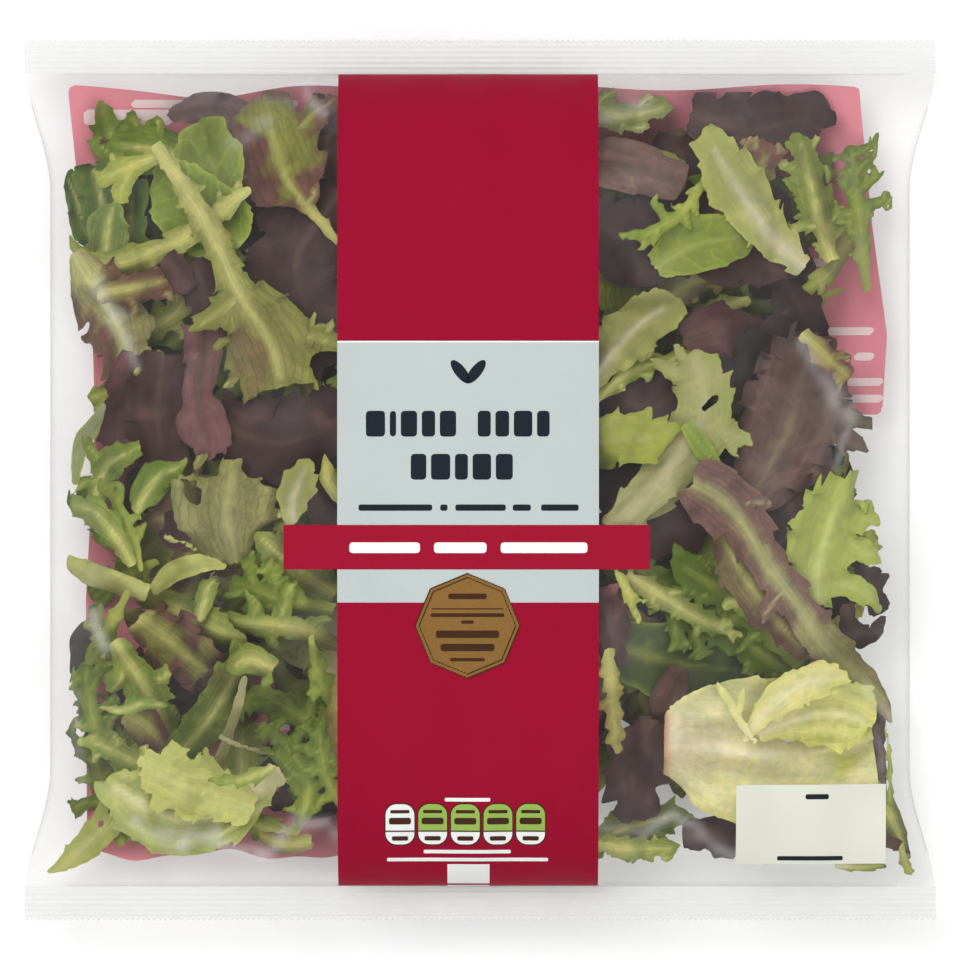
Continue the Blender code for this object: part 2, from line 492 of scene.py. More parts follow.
LEAF_THICKNESS = 0.28
THINNEST_LEAF = 0.22  # once the heap is pressed into the bag
BRIGHTEST = 0.92
LEAST_ISLAND = 24  # faces; smaller scraps beside a leaf are dropped
FRILL_SHIFT = 0.85  # how far a ruffled edge moves sideways, as a share of its height
LEAF_CLEARANCE = 0.9  # between the leaves and the film
LEAF_MARGIN = 2.2  # between a leaf and the bag's side or seal
SIDE_SQUEEZE = 6  # the stretch of a leaf that the bag's side presses back in
SEAL_SQUEEZE = 5  # and the stretch that a seal presses back in
BROAD_WAVE = (2.2, 26)  # the height and length of every leaf's broad waves
FOLD_HEIGHT = 1.4  # of its folds, unless its changes say otherwise
FOLD_LENGTH = 11
LEAF_GAP = 0.25  # least height of a leaf above those that it lies on

# Each kind of leaf. level: what its colours are multiplied by. cut: its core's share of the width, and its
# limbs' spacing, thickness and forks. teeth and lobes: length and depth. sweep: how far both lean forward.
# rib: half widths at its foot and tip. ridge: the rib's height. ruffle and pucker: height and length.
LEAF_KINDS = {
    "green": dict(
        level=(1.24, 1.14, 1.02), cut=(0.55, 9.5, 0.22, 2), teeth=(5.4, 4.0), lobes=(15, 0.26), sweep=0.8,
        rib=(1.8, 0.4), ridge=0.35, ruffle=(3.0, 11), pucker=(0.8, 7.0), blade=(142, 156, 66),
        rib_tint=(196, 200, 128), edge=(120, 142, 44), patch=(128, 112, 70), patch_share=0.1,
    ),
    "frisee": dict(
        level=(1.1, 1.05, 0.85), cut=(0.28, 6.0, 0.12, 4), teeth=(3.4, 1.8), lobes=(9, 0.15), sweep=0.9,
        rib=(1.7, 0.5), ridge=0.45, ruffle=(3.4, 8), pucker=(0.9, 7.0), blade=(106, 130, 44),
        rib_tint=(166, 176, 92), edge=(90, 118, 32), patch=(112, 110, 56), patch_share=0.06,
    ),
    "red": dict(
        level=(0.9, 0.88, 0.82), cut=None, teeth=(5.0, 1.7), lobes=(12, 0.3), sweep=0.5, rib=(1.0, 0.3),
        ridge=0.3, ruffle=(2.6, 13), pucker=(1.1, 9.0), blade=(66, 45, 45), rib_tint=(92, 70, 64),
        edge=(54, 37, 40), patch=(92, 64, 64), patch_share=0.25,
    ),
    "blush": dict(
        level=(1.14, 1.1, 0.95), cut=(0.6, 10.0, 0.24, 2), teeth=(5.2, 3.0), lobes=(13, 0.24), sweep=0.7,
        rib=(1.8, 0.4), ridge=0.35, ruffle=(2.4, 11), pucker=(0.9, 7.0), blade=(132, 136, 66),
        rib_tint=(180, 178, 112), edge=(108, 76, 68), patch=(112, 76, 72), patch_share=0.55,
    ),
    "heart": dict(
        level=(1.26, 1.2, 1.2), cut=None, teeth=(6.0, 2.6), lobes=(19, 0.14), sweep=0.8, rib=(3.2, 0.8),
        ridge=0.3, ruffle=(2.4, 13), pucker=(0.8, 9.0), blade=(208, 208, 156), rib_tint=(216, 214, 178),
        edge=(198, 202, 110), patch=(196, 202, 120), patch_share=0.25,
    ),
    "smooth": dict(
        level=(1.22, 1.1, 0.98), cut=None, teeth=(9.0, 0.7), lobes=(26, 0.06), sweep=0.6, rib=(1.0, 0.3),
        ridge=0.4, ruffle=(1.4, 18), pucker=(0.6, 9.0), blade=(120, 138, 60), rib_tint=(150, 166, 88),
        edge=(150, 170, 76), patch=(118, 140, 60), patch_share=0.25,
    ),
}


def spline(points, step=1.2):
    """A smooth line through the points, read about every step, with further columns such as widths."""
    p = np.array(points, float)
    ends = np.vstack([2 * p[0] - p[1], p, 2 * p[-1] - p[-2]])
    samples = []
    for a, b, c, d in zip(ends, ends[1:], ends[2:], ends[3:]):
        n = max(2, int(np.linalg.norm((c - b)[:2]) / step))
        t = np.linspace(0, 1, n, endpoint=False)[:, None]
        curve = (2 * a - 5 * b + 4 * c - d) * t**2 + (3 * b - a - 3 * c + d) * t**3
        samples.append(0.5 * (2 * b + (c - a) * t + curve))
    return np.vstack([*samples, p[-1:]])


def limb(points, rib, first=0.0):
    """One blade along a line of (x, y, half width), which starts at the distance first along its leaf."""
    line = spline(points)
    steps = np.gradient(line[:, :2], axis=0)
    length = np.linalg.norm(steps, axis=1)
    along = np.concatenate([[0], np.cumsum(np.linalg.norm(np.diff(line[:, :2], axis=0), axis=1))])
    share = along / along[-1]
    return dict(
        at=line[:, :2],
        way=steps / length[:, None],
        along=along + first,
        width=np.maximum(line[:, 2], 0.3),
        rib=rib[0] + (rib[1] - rib[0]) * share,
    )


def side_limbs(main, rng, spacing, thick, forks):
    """The lobes of a cut leaf: curved, pointed limbs on both sides of its middle, with their own forks."""
    limbs = []
    reach = main["along"][-1]
    at = rng.uniform(0.10, 0.2) * reach
    side = rng.choice((-1, 1))
    while at < reach * 0.98:
        i = int(np.searchsorted(main["along"], at))
        root = main["at"][i]
        heading = math.atan2(main["way"][i][1], main["way"][i][0])
        span = main["width"][i] * rng.uniform(0.75, 1.3)
        turn = side * math.radians(rng.uniform(34, 66))
        bend = side * math.radians(rng.uniform(-50, 30))
        points = []
        for share, wide in ((0, 1.0), (0.35, 0.95), (0.7, 0.6), (1.0, 0.0)):
            angle = heading + turn + bend * share
            point = root + span * share * np.array([math.cos(angle), math.sin(angle)])
            points.append((*point, 0.25 + (0.35 + thick * span) * wide))
        branch = limb(points, (0.7, 0.2), at)
        limbs.append(branch)
        for _ in range(forks if span > 4 else 0):
            share = rng.uniform(0.25, 0.92)
            j = int(share * (len(branch["at"]) - 1))
            start, way = branch["at"][j], branch["way"][j]
            angle = math.atan2(way[1], way[0]) + rng.choice((-1, 1)) * math.radians(rng.uniform(30, 70))
            fork = span * rng.uniform(0.24, 0.42)
            tip = start + fork * np.array([math.cos(angle), math.sin(angle)])
            middle = (start + tip) / 2 + rng.normal(0, 0.3, 2)
            wide = 0.45 + 0.3 * thick * span
            limbs.append(limb([(*start, wide * 1.3), (*middle, wide), (*tip, 0.25)], (0.4, 0.15), at))
        at += rng.uniform(0.5, 1.4) * spacing / 2
        side = -side
    return limbs


def nearest(limbs, x, y, tip):
    """For each point of a grid, its place beside the limb whose edge it is nearest to or deepest inside.

    tip is how far the first limb reaches past its last point; without it the end is round.
    """
    at = np.concatenate([k["at"] for k in limbs])
    way = np.concatenate([k["way"] for k in limbs])
    along = np.concatenate([k["along"] for k in limbs])
    width = np.concatenate([k["width"] for k in limbs])
    rib = np.concatenate([k["rib"] for k in limbs])
    which = np.concatenate([np.full(len(k["at"]), n) for n, k in enumerate(limbs)])
    dx, dy = x[..., None] - at[:, 0], y[..., None] - at[:, 1]
    distance = np.sqrt(dx * dx + dy * dy)
    single = len(limbs) == 1
    best = np.argmin(distance if single else distance - width, axis=-1)
    pick = np.take_along_axis
    dx = pick(dx, best[..., None], -1)[..., 0]
    dy = pick(dy, best[..., None], -1)[..., 0]
    tx, ty = way[best, 0], way[best, 1]
    forward, sideways = dx * tx + dy * ty, tx * dy - ty * dx
    behind = (best == 0) & (forward < 0)
    if tip is not None:
        past = (best == len(limbs[0]["at"]) - 1) & (forward > 0)
        longer = np.hypot(forward * width[best] / tip, sideways)
    else:
        past, longer = False, forward
    return dict(
        way=(tx, ty),
        along=along[best] + forward,
        across=sideways,
        off=np.where(past, longer, np.hypot(dx, dy)),
        width=width[best],
        rib=rib[best],
        which=which[best],
        cut=np.where(behind, -forward, -1e3),
    )


def tooth_shape(turns, seed):
    """A row of pointed teeth of uneven size that lean forward, one each turn, from 0 to 1."""
    number = np.floor(turns)
    part = turns - number
    rise = np.where(part < 0.68, part / 0.68, (1 - part) / 0.32)
    size = 0.5 + 0.5 * line_noise(number + 0.5, seed)
    return (0.12 + 0.88 * size) * rise**2.4


def shape_leaf(kind, route, seed, spacing, **changes):
    """One leaf in plan: its fields at the points of a grid cut along its outline, and the grid's faces.

    The fields are place, relief, thickness, place on the leaf and colour. changes differ from its kind.
    """
    style = {**LEAF_KINDS[kind], **changes}
    rng = np.random.default_rng(seed)
    limbs = [limb(route, style["rib"])]
    core = limbs[0]
    if style["cut"]:
        core_share, spacing_between, thick_share, forks = style["cut"]
        limbs += side_limbs(core, rng, spacing_between, thick_share, forks)
        core["width"] = np.maximum(0.9, core_share * core["width"])
    edges = np.concatenate([k["at"] for k in limbs])
    reach = max(k["width"].max() for k in limbs) + style["teeth"][1] + 2
    xs = np.arange(edges[:, 0].min() - reach, edges[:, 0].max() + reach, spacing)
    ys = np.arange(edges[:, 1].min() - reach, edges[:, 1].max() + reach, spacing)
    x, y = np.meshgrid(xs, ys)
    for route_aside in style.get("spikes", ()):
        limbs.append(limb(route_aside, (0.4, 0.2), 0.0))
        root = np.array(route_aside[0][:2])
        limbs[-1]["along"] += core["along"][np.argmin(np.hypot(*(core["at"] - root).T))]
    spot = nearest(limbs, x, y, style.get("tip"))
    side = np.where(spot["across"] > 0, 3, 0) + 5 * spot["which"] + seed
    swept = spot["along"] - style["sweep"] * spot["off"]

    lobe_pitch, lobe_depth = style["lobes"]
    turns = swept / lobe_pitch + 0.35 * line_noise(swept / lobe_pitch / 1.7, side)
    sinus = 1 - np.abs(np.sin(math.pi * turns))
    width = spot["width"] * (1 - lobe_depth * sinus**2.2 * (1 + 0.5 * line_noise(turns * 0.5, side + 1)))
    pitch, depth = style["teeth"]
    turns = swept / pitch + 0.4 * line_noise(swept / pitch / 2.3, side + 2)
    grown = np.minimum(1, spot["width"] / 4.5)
    width = width + grown * depth * (tooth_shape(turns, side) - 0.22)
    width = width + grown * 0.35 * depth * (tooth_shape(turns * 2.7, side + 4) - 0.22)
    f = np.maximum(spot["off"] - width, spot["cut"] + 0.4 * line_noise(spot["across"] / 1.5, seed))
    for hole_x, hole_y, hole_r in style.get("holes", ()):
        away = np.hypot(x - hole_x, y - hole_y)
        angle = np.arctan2(y - hole_y, x - hole_x)
        f = np.maximum(f, hole_r * (1 + 0.4 * line_noise(angle * 1.4 + 20, int(hole_x * 7) % 91)) - away)

    share = np.clip(spot["off"] / spot["width"], 0, 1.3)
    height, length = style["ruffle"]
    pucker, pucker_length = style["pucker"]
    flat_x, flat_y = x, y
    total = max(limbs[0]["along"][-1], 1)
    if style["cut"]:
        core_at = core["at"]
        gaps = (x[..., None] - core_at[:, 0]) ** 2 + (y[..., None] - core_at[:, 1]) ** 2
        loose = np.clip(np.sqrt(gaps.min(-1)) / 10, 0, 1.2)
        relief = height * loose * plane_noise(x / length, y / length, seed + 6)
        x = x + 1.6 * loose * plane_noise(x / 5, y / 5, seed + 11)
        y = y + 1.6 * loose * plane_noise(flat_x / 5, flat_y / 5, seed + 12)
    else:
        turn = spot["along"] / length + 0.8 * line_noise(spot["along"] / length / 1.7, side + 6)
        frill = height * share**2 * (0.8 + 0.4 * line_noise(turn, side + 7))
        frill = frill * np.minimum(1, spot["width"] / 7)
        relief = frill * np.sin(2 * math.pi * turn)
        shift = FRILL_SHIFT * frill * np.cos(2 * math.pi * turn)
        x = x + spot["way"][0] * shift
        y = y + spot["way"][1] * shift
    relief = relief + pucker * plane_noise(flat_x / pucker_length, flat_y / pucker_length, seed + 7)
    on_rib = np.exp(-((spot["off"] / (1.6 * spot["rib"])) ** 1.6))
    relief = relief + style.get("cup", 0.0) * share**2
    relief = relief + style.get("bow", 0.0) * np.sin(math.pi * np.clip(spot["along"] / total, 0, 1))
    wave_height, wave_length = BROAD_WAVE
    relief = relief + wave_height * plane_noise(flat_x / wave_length, flat_y / wave_length, seed + 8)
    folds = plane_noise(flat_x / FOLD_LENGTH, flat_y / FOLD_LENGTH, seed + 13)
    relief = relief + style.get("fold_height", FOLD_HEIGHT) * folds
    fan = np.clip(spot["across"] / spot["width"], -1.3, 1.3)
    furrows, furrow_height, furrow_light_and_shade = style.get("furrows", (0, 0.0, 0.0))
    wander = 1.6 * line_noise(spot["along"] / 19, seed + 15)
    furrow = np.cos(math.pi * furrows * fan + wander) * smoothstep(1, 14, spot["along"])
    furrow = furrow * smoothstep(4, 9, spot["width"])
    relief = relief + furrow_height * furrow
    rib_profile = np.sqrt(np.maximum(0, 1 - (spot["off"] / (1.15 * spot["rib"])) ** 2))
    thick = LEAF_THICKNESS + style["ridge"] * 1.5 * spot["rib"] * rib_profile * np.minimum(1, spot["rib"])

    def tint(name):
        return np.array(colour(*style[name])[:3])

    # Colours: the blade with its patches, then the edge, the rib, a browned cut, and painted light and
    # shade along the furrows
    depth_in = np.maximum(0, -f)
    edge_share = np.exp(-depth_in / 2.2)[..., None]
    mottle = plane_noise(flat_x / 9, flat_y / 9, seed + 9)
    mottle = mottle + 0.5 * plane_noise(flat_x / 3.1, flat_y / 3.1, seed + 10)
    patch_share = style["patch_share"]
    if kind == "blush":
        mottle = mottle + 1.1 * np.exp(-depth_in / 5) - 0.9 * on_rib
        fade = style.get("blush_along")
        if fade:
            mottle = mottle + np.interp(spot["along"] / total, (0, 1), fade)
    patches = smoothstep(0.6 - patch_share, 1.3 - patch_share, mottle)[..., None]
    paint = tint("blade") + (tint("patch") - tint("blade")) * patches
    rim = np.exp(-depth_in / 0.7)[..., None] if kind == "smooth" else edge_share * 0.6
    paint = paint + (tint("edge") - paint) * rim
    rib_share = np.clip(on_rib * (1.25 - 0.5 * spot["along"] / total), 0, 1)[..., None]
    paint = paint + (tint("rib_tint") - paint) * rib_share
    if "cut_tint" in style:
        cut_share = np.exp(-np.maximum(0, spot["along"] + 0.2 + 1.3 * mottle) / 1.1)[..., None]
        paint = paint + (tint("cut_tint") - paint) * cut_share
    # painted light and shade: the colour is lighter on the furrows' crests and darker in their troughs
    paint = paint * (1 + furrow_light_and_shade * furrow)[..., None]
    paint = np.minimum(BRIGHTEST, paint * style.get("tone", 1.0) * np.array(style["level"]))

    fields = [x, y, relief, thick, spot["along"], spot["across"], fan, *paint.transpose(2, 0, 1)]
    values, faces = cut_grid(f, fields)
    faces = main_islands(faces, len(values[0]), LEAST_ISLAND)
    return compact(values, faces)


class Heap:
    """Leaves laid on one another. It keeps the top of the heap so far over the bag's plan."""

    HALF = 132  # the plan's half size, in cells of a millimetre

    def __init__(self):
        self.top = np.zeros((2 * self.HALF, 2 * self.HALF))
        self.leaves = []

    def cell(self, x, y):
        """The row and column that a place falls on, between cells."""
        i = np.clip(y + self.HALF, 0, 2 * self.HALF - 1.001)
        j = np.clip(x + self.HALF, 0, 2 * self.HALF - 1.001)
        return i, j

    def read(self, grid, x, y):
        """The grid's value at each place, blended between cells."""
        i, j = self.cell(x, y)
        r, c = np.floor(i).astype(int), np.floor(j).astype(int)
        s, t = i - r, j - c
        low = grid[r, c] * (1 - t) + grid[r, c + 1] * t
        high = grid[r + 1, c] * (1 - t) + grid[r + 1, c + 1] * t
        return low * (1 - s) + high * s

    @staticmethod
    def spread(grid, cells):
        """Each cell takes the highest value within that many cells of it."""
        for axis in (0, 1):
            best = grid
            for shift in range(1, cells + 1):
                best = np.maximum(best, np.roll(grid, shift, axis))
                best = np.maximum(best, np.roll(grid, -shift, axis))
            grid = best
        return grid

    @staticmethod
    def blurred(grid, size):
        """The grid under a soft blur of that many cells."""
        frequency = np.fft.fftfreq(len(grid))
        keep = np.exp(-2 * (math.pi * frequency * size) ** 2)
        return np.fft.ifft2(np.fft.fft2(grid) * keep[:, None] * keep[None, :]).real

    def lay(self, kind, shape, spacing, lift=0.0):
        """Lays a leaf on the heap. It hangs over what is below it and follows the crests there."""
        values, faces = shape
        x, y, relief, thick = values[:4]
        x, y = inside_bag(x, y)
        support = self.blurred(self.spread(self.top, 2), 4.5)
        rest = self.read(support, x, y) + relief - 0.6 * relief.min() + lift
        crests = self.blurred(self.spread(self.top, 3), 1.5)
        under = np.maximum(rest, self.read(crests, x, y) + LEAF_GAP)
        over = under + thick
        own = np.full(self.top.shape, -1.0)
        i, j = self.cell(x, y)
        np.maximum.at(own, (np.round(i).astype(int), np.round(j).astype(int)), over)
        self.top = np.maximum(self.top, self.spread(own, int(math.ceil(spacing / 1.2))))
        self.leaves.append((kind, x, y, under, over, values[4:], faces))

    def settle(self):
        """Maps the heap's heights, point by point, onto the room between the bag's back and its front."""
        full = self.blurred(self.spread(self.top, 4), 9.0) + 1.0
        for kind, x, y, under, over, rest, faces in self.leaves:
            floor = back(x, y) + LEAF_CLEARANCE
            room = np.maximum(0.6, front(x, y) - LEAF_CLEARANCE - floor)
            scale = room / np.maximum(self.read(full, x, y), 12.0)
            low, high = under * scale, over * scale
            high = np.maximum(high, low + THINNEST_LEAF)
            spare = np.minimum(0, room - high)
            yield kind, x, y, floor + low + spare, floor + high + spare, rest, faces


def squeezed(value, limit, reach):
    """Presses what would pass the limit back in, over the last stretch of that reach."""
    size = np.abs(value)
    pressed = limit - reach * np.exp(-(size - limit + reach) / reach)
    return np.where(size > limit - reach, np.sign(value) * pressed, value)


def inside_bag(x, y):
    """The same places, pressed in where they would cross the bag's sides or seals."""
    y = squeezed(y, INNER - LEAF_MARGIN, SEAL_SQUEEZE)
    return squeezed(x, half_width(y) - LEAF_MARGIN, SIDE_SQUEEZE), y


def whole(**changes):
    """The changes of a leaf that isn't cut into limbs."""
    return dict(cut=None, **changes)


# Each visible leaf: its kind, the line from its cut end to its tip as (x, y, half width), and its changes.
# They are listed from the lowest to the topmost, region by region. Of the changes, spikes are further lines
# like its own, holes are (x, y, radius), tip is how far it reaches past its last point, lift raises it, and
# cup and bow bend it across and along. furrows are their count, height, and the strength of the painted
# light and shade that follows them: lighter on their crests, darker in their troughs.
TOP_LEFT = [
    ("red", [(-38, 104, 9), (-42, 88, 10), (-39, 68, 9)], dict()),
    ("red", [(-38, 78, 13), (-50, 60, 15), (-46, 42, 13)], dict(teeth=(9, 1.2), tone=0.9)),
    ("red", [(-88, 66, 3), (-90, 74, 5), (-90, 82, 4)],
     dict(tone=0.7, blade=(52, 58, 40), rib_tint=(60, 66, 44))),
    ("green", [(-84, 89, 6), (-92, 91, 8), (-99, 92, 7)],
     whole(blade=(110, 134, 50), patch=(126, 112, 66), patch_share=0.3, teeth=(7, 2.6), rib=(1.0, 0.4),
      tip=5, spikes=[[(-99, 90, 5.5), (-102.5, 98, 3.6), (-104.6, 106.5, 0.3)],
      [(-93, 92, 5), (-95, 98, 2.6), (-95.4, 102, 0.3)],
      [(-88, 91, 5), (-88.5, 97, 2.2), (-88.6, 101, 0.3)],
      [(-100, 89, 5), (-105, 92, 2.2), (-109, 93.2, 0.3)]])),
    ("red", [(-85, 99, 1.5), (-79, 102, 4), (-71, 102, 5.5), (-64, 98, 5), (-59, 98, 3)],
     dict(blade=(112, 92, 96), edge=(92, 70, 78), patch=(132, 114, 112), lobes=(19, 0.12), teeth=(9, 1.0),
      lift=1.0)),
    ("blush", [(-38.5, 64.5, 1.2), (-43, 70, 1.7), (-47.5, 75, 2.6), (-52, 81, 8), (-55, 88, 13),
     (-57, 95, 12), (-58, 99, 8)],
     whole(rib=(1.4, 0.6), teeth=(6, 3.0), lobes=(11, 0.22), patch_share=0.6, tip=4,
      spikes=[[(-56, 80, 5), (-63, 82, 3), (-69.3, 83.2, 0.4)],
      [(-60, 88, 5), (-66, 92, 2.6), (-69, 93, 0.4)], [(-57, 97, 6), (-58, 102, 3.4), (-58.6, 106, 0.5)],
      [(-50, 95, 6), (-45, 100, 4.4), (-40, 104, 2)], [(-46, 76, 2), (-44.5, 81, 1.3), (-44, 85, 0.3)]])),
    ("smooth", [(-70.5, 78, 6), (-73.5, 86, 9.5), (-75.5, 92, 9), (-76, 95, 7)], dict(tip=4, tone=0.95)),
    ("smooth", [(-66, 64, 5), (-70, 68, 10), (-78, 74, 11), (-84, 80, 9), (-87, 82, 6)],
     dict(tip=3, tone=1.12, blade=(116, 138, 62), teeth=(5, 0.9))),
    ("green", [(-103, 60.5, 3), (-108, 70, 5.5), (-112, 79, 5.5), (-115, 83, 4)],
     whole(blade=(72, 96, 44), edge=(110, 138, 62), tip=2, teeth=(5, 2.4), rib=(0.8, 0.3))),
    ("green", [(-97, 61, 4), (-96, 70, 5.5), (-96, 78, 6), (-98, 84, 4)],
     whole(blade=(66, 92, 40), edge=(96, 124, 52), teeth=(5, 2.4), rib=(0.8, 0.3), cup=3, lobes=(9, 0.3))),
    ("green", [(-101, 60, 4), (-103, 70, 6), (-104, 78, 7), (-106, 85, 6)],
     whole(blade=(80, 106, 46), edge=(120, 146, 66), tip=2, teeth=(4.4, 3.0), rib=(0.9, 0.3), cup=3)),
    ("green", [(-103, 60.5, 5.5), (-102, 67, 6.8), (-101, 72, 5.6), (-100.5, 74, 4)],
     whole(blade=(104, 128, 72), edge=(158, 174, 96), tip=2.5, teeth=(9, 1.6), rib=(0.9, 0.4), cup=-3,
      lift=1.0)),
    ("green", [(-87.5, 88.5, 2.2), (-92, 87, 2.8), (-97, 85, 3.6), (-102, 83, 3)],
     whole(blade=(160, 170, 84), edge=(150, 166, 70), rib=(1.0, 0.4), teeth=(5, 2.0),
      spikes=[[(-99, 84, 2.4), (-100, 87, 1.4), (-100.6, 90, 0.3)],
      [(-100, 83, 2.4), (-104, 83.5, 1.2), (-106, 85, 0.3)],
      [(-96, 84, 2.6), (-98, 78, 3), (-97, 72, 1.2)]])),
    ("red", [(-79.5, 58, 5), (-76, 52, 6), (-74, 44, 5)], dict(lift=0.5)),
    ("green", [(-62.6, 79, 1.0), (-66.8, 76.6, 2.8), (-71.5, 72.8, 3.0), (-80, 66.5, 3.6), (-90, 61.6, 4.2),
     (-101, 58.5, 4.6), (-110, 61, 3.2)],
     whole(rib=(2.2, 1.6), teeth=(9, 2.6), blade=(150, 162, 84), tone=0.95,
      spikes=[[(-66.5, 77, 2), (-66, 80, 1.2), (-65.8, 82.6, 0.3)],
      [(-70, 75.5, 2), (-71.3, 78, 1), (-71.8, 79.6, 0.3)],
      [(-108, 60, 3), (-112, 64.5, 1.6), (-113, 67.5, 0.3)],
      [(-106, 60, 3), (-110.5, 56.5, 1.8), (-113, 52, 0.3)]])),
    ("blush", [(-111, 62, 3), (-107, 55, 8), (-101, 46, 10), (-97.5, 36, 9), (-98.5, 27, 4)],
     whole(rib=(2.4, 0.6), blade=(160, 160, 108), furrows=(3.4, 0.8, 0.1), patch_share=0.28,
      edge=(128, 112, 86), teeth=(7, 3.6), rib_tint=(186, 186, 134), tip=5)),
    ("blush", [(-104, 51, 4), (-96, 52, 7.5), (-88, 54, 7), (-84.5, 55.5, 4)],
     dict(patch_share=0.9, teeth=(5, 2.2))),
    ("red", [(-86, 60.5, 2.5), (-83.5, 58, 4.2), (-81, 54, 3.4)],
     dict(tone=1.15, lift=0.6, lobes=(20, 0.05))),
]
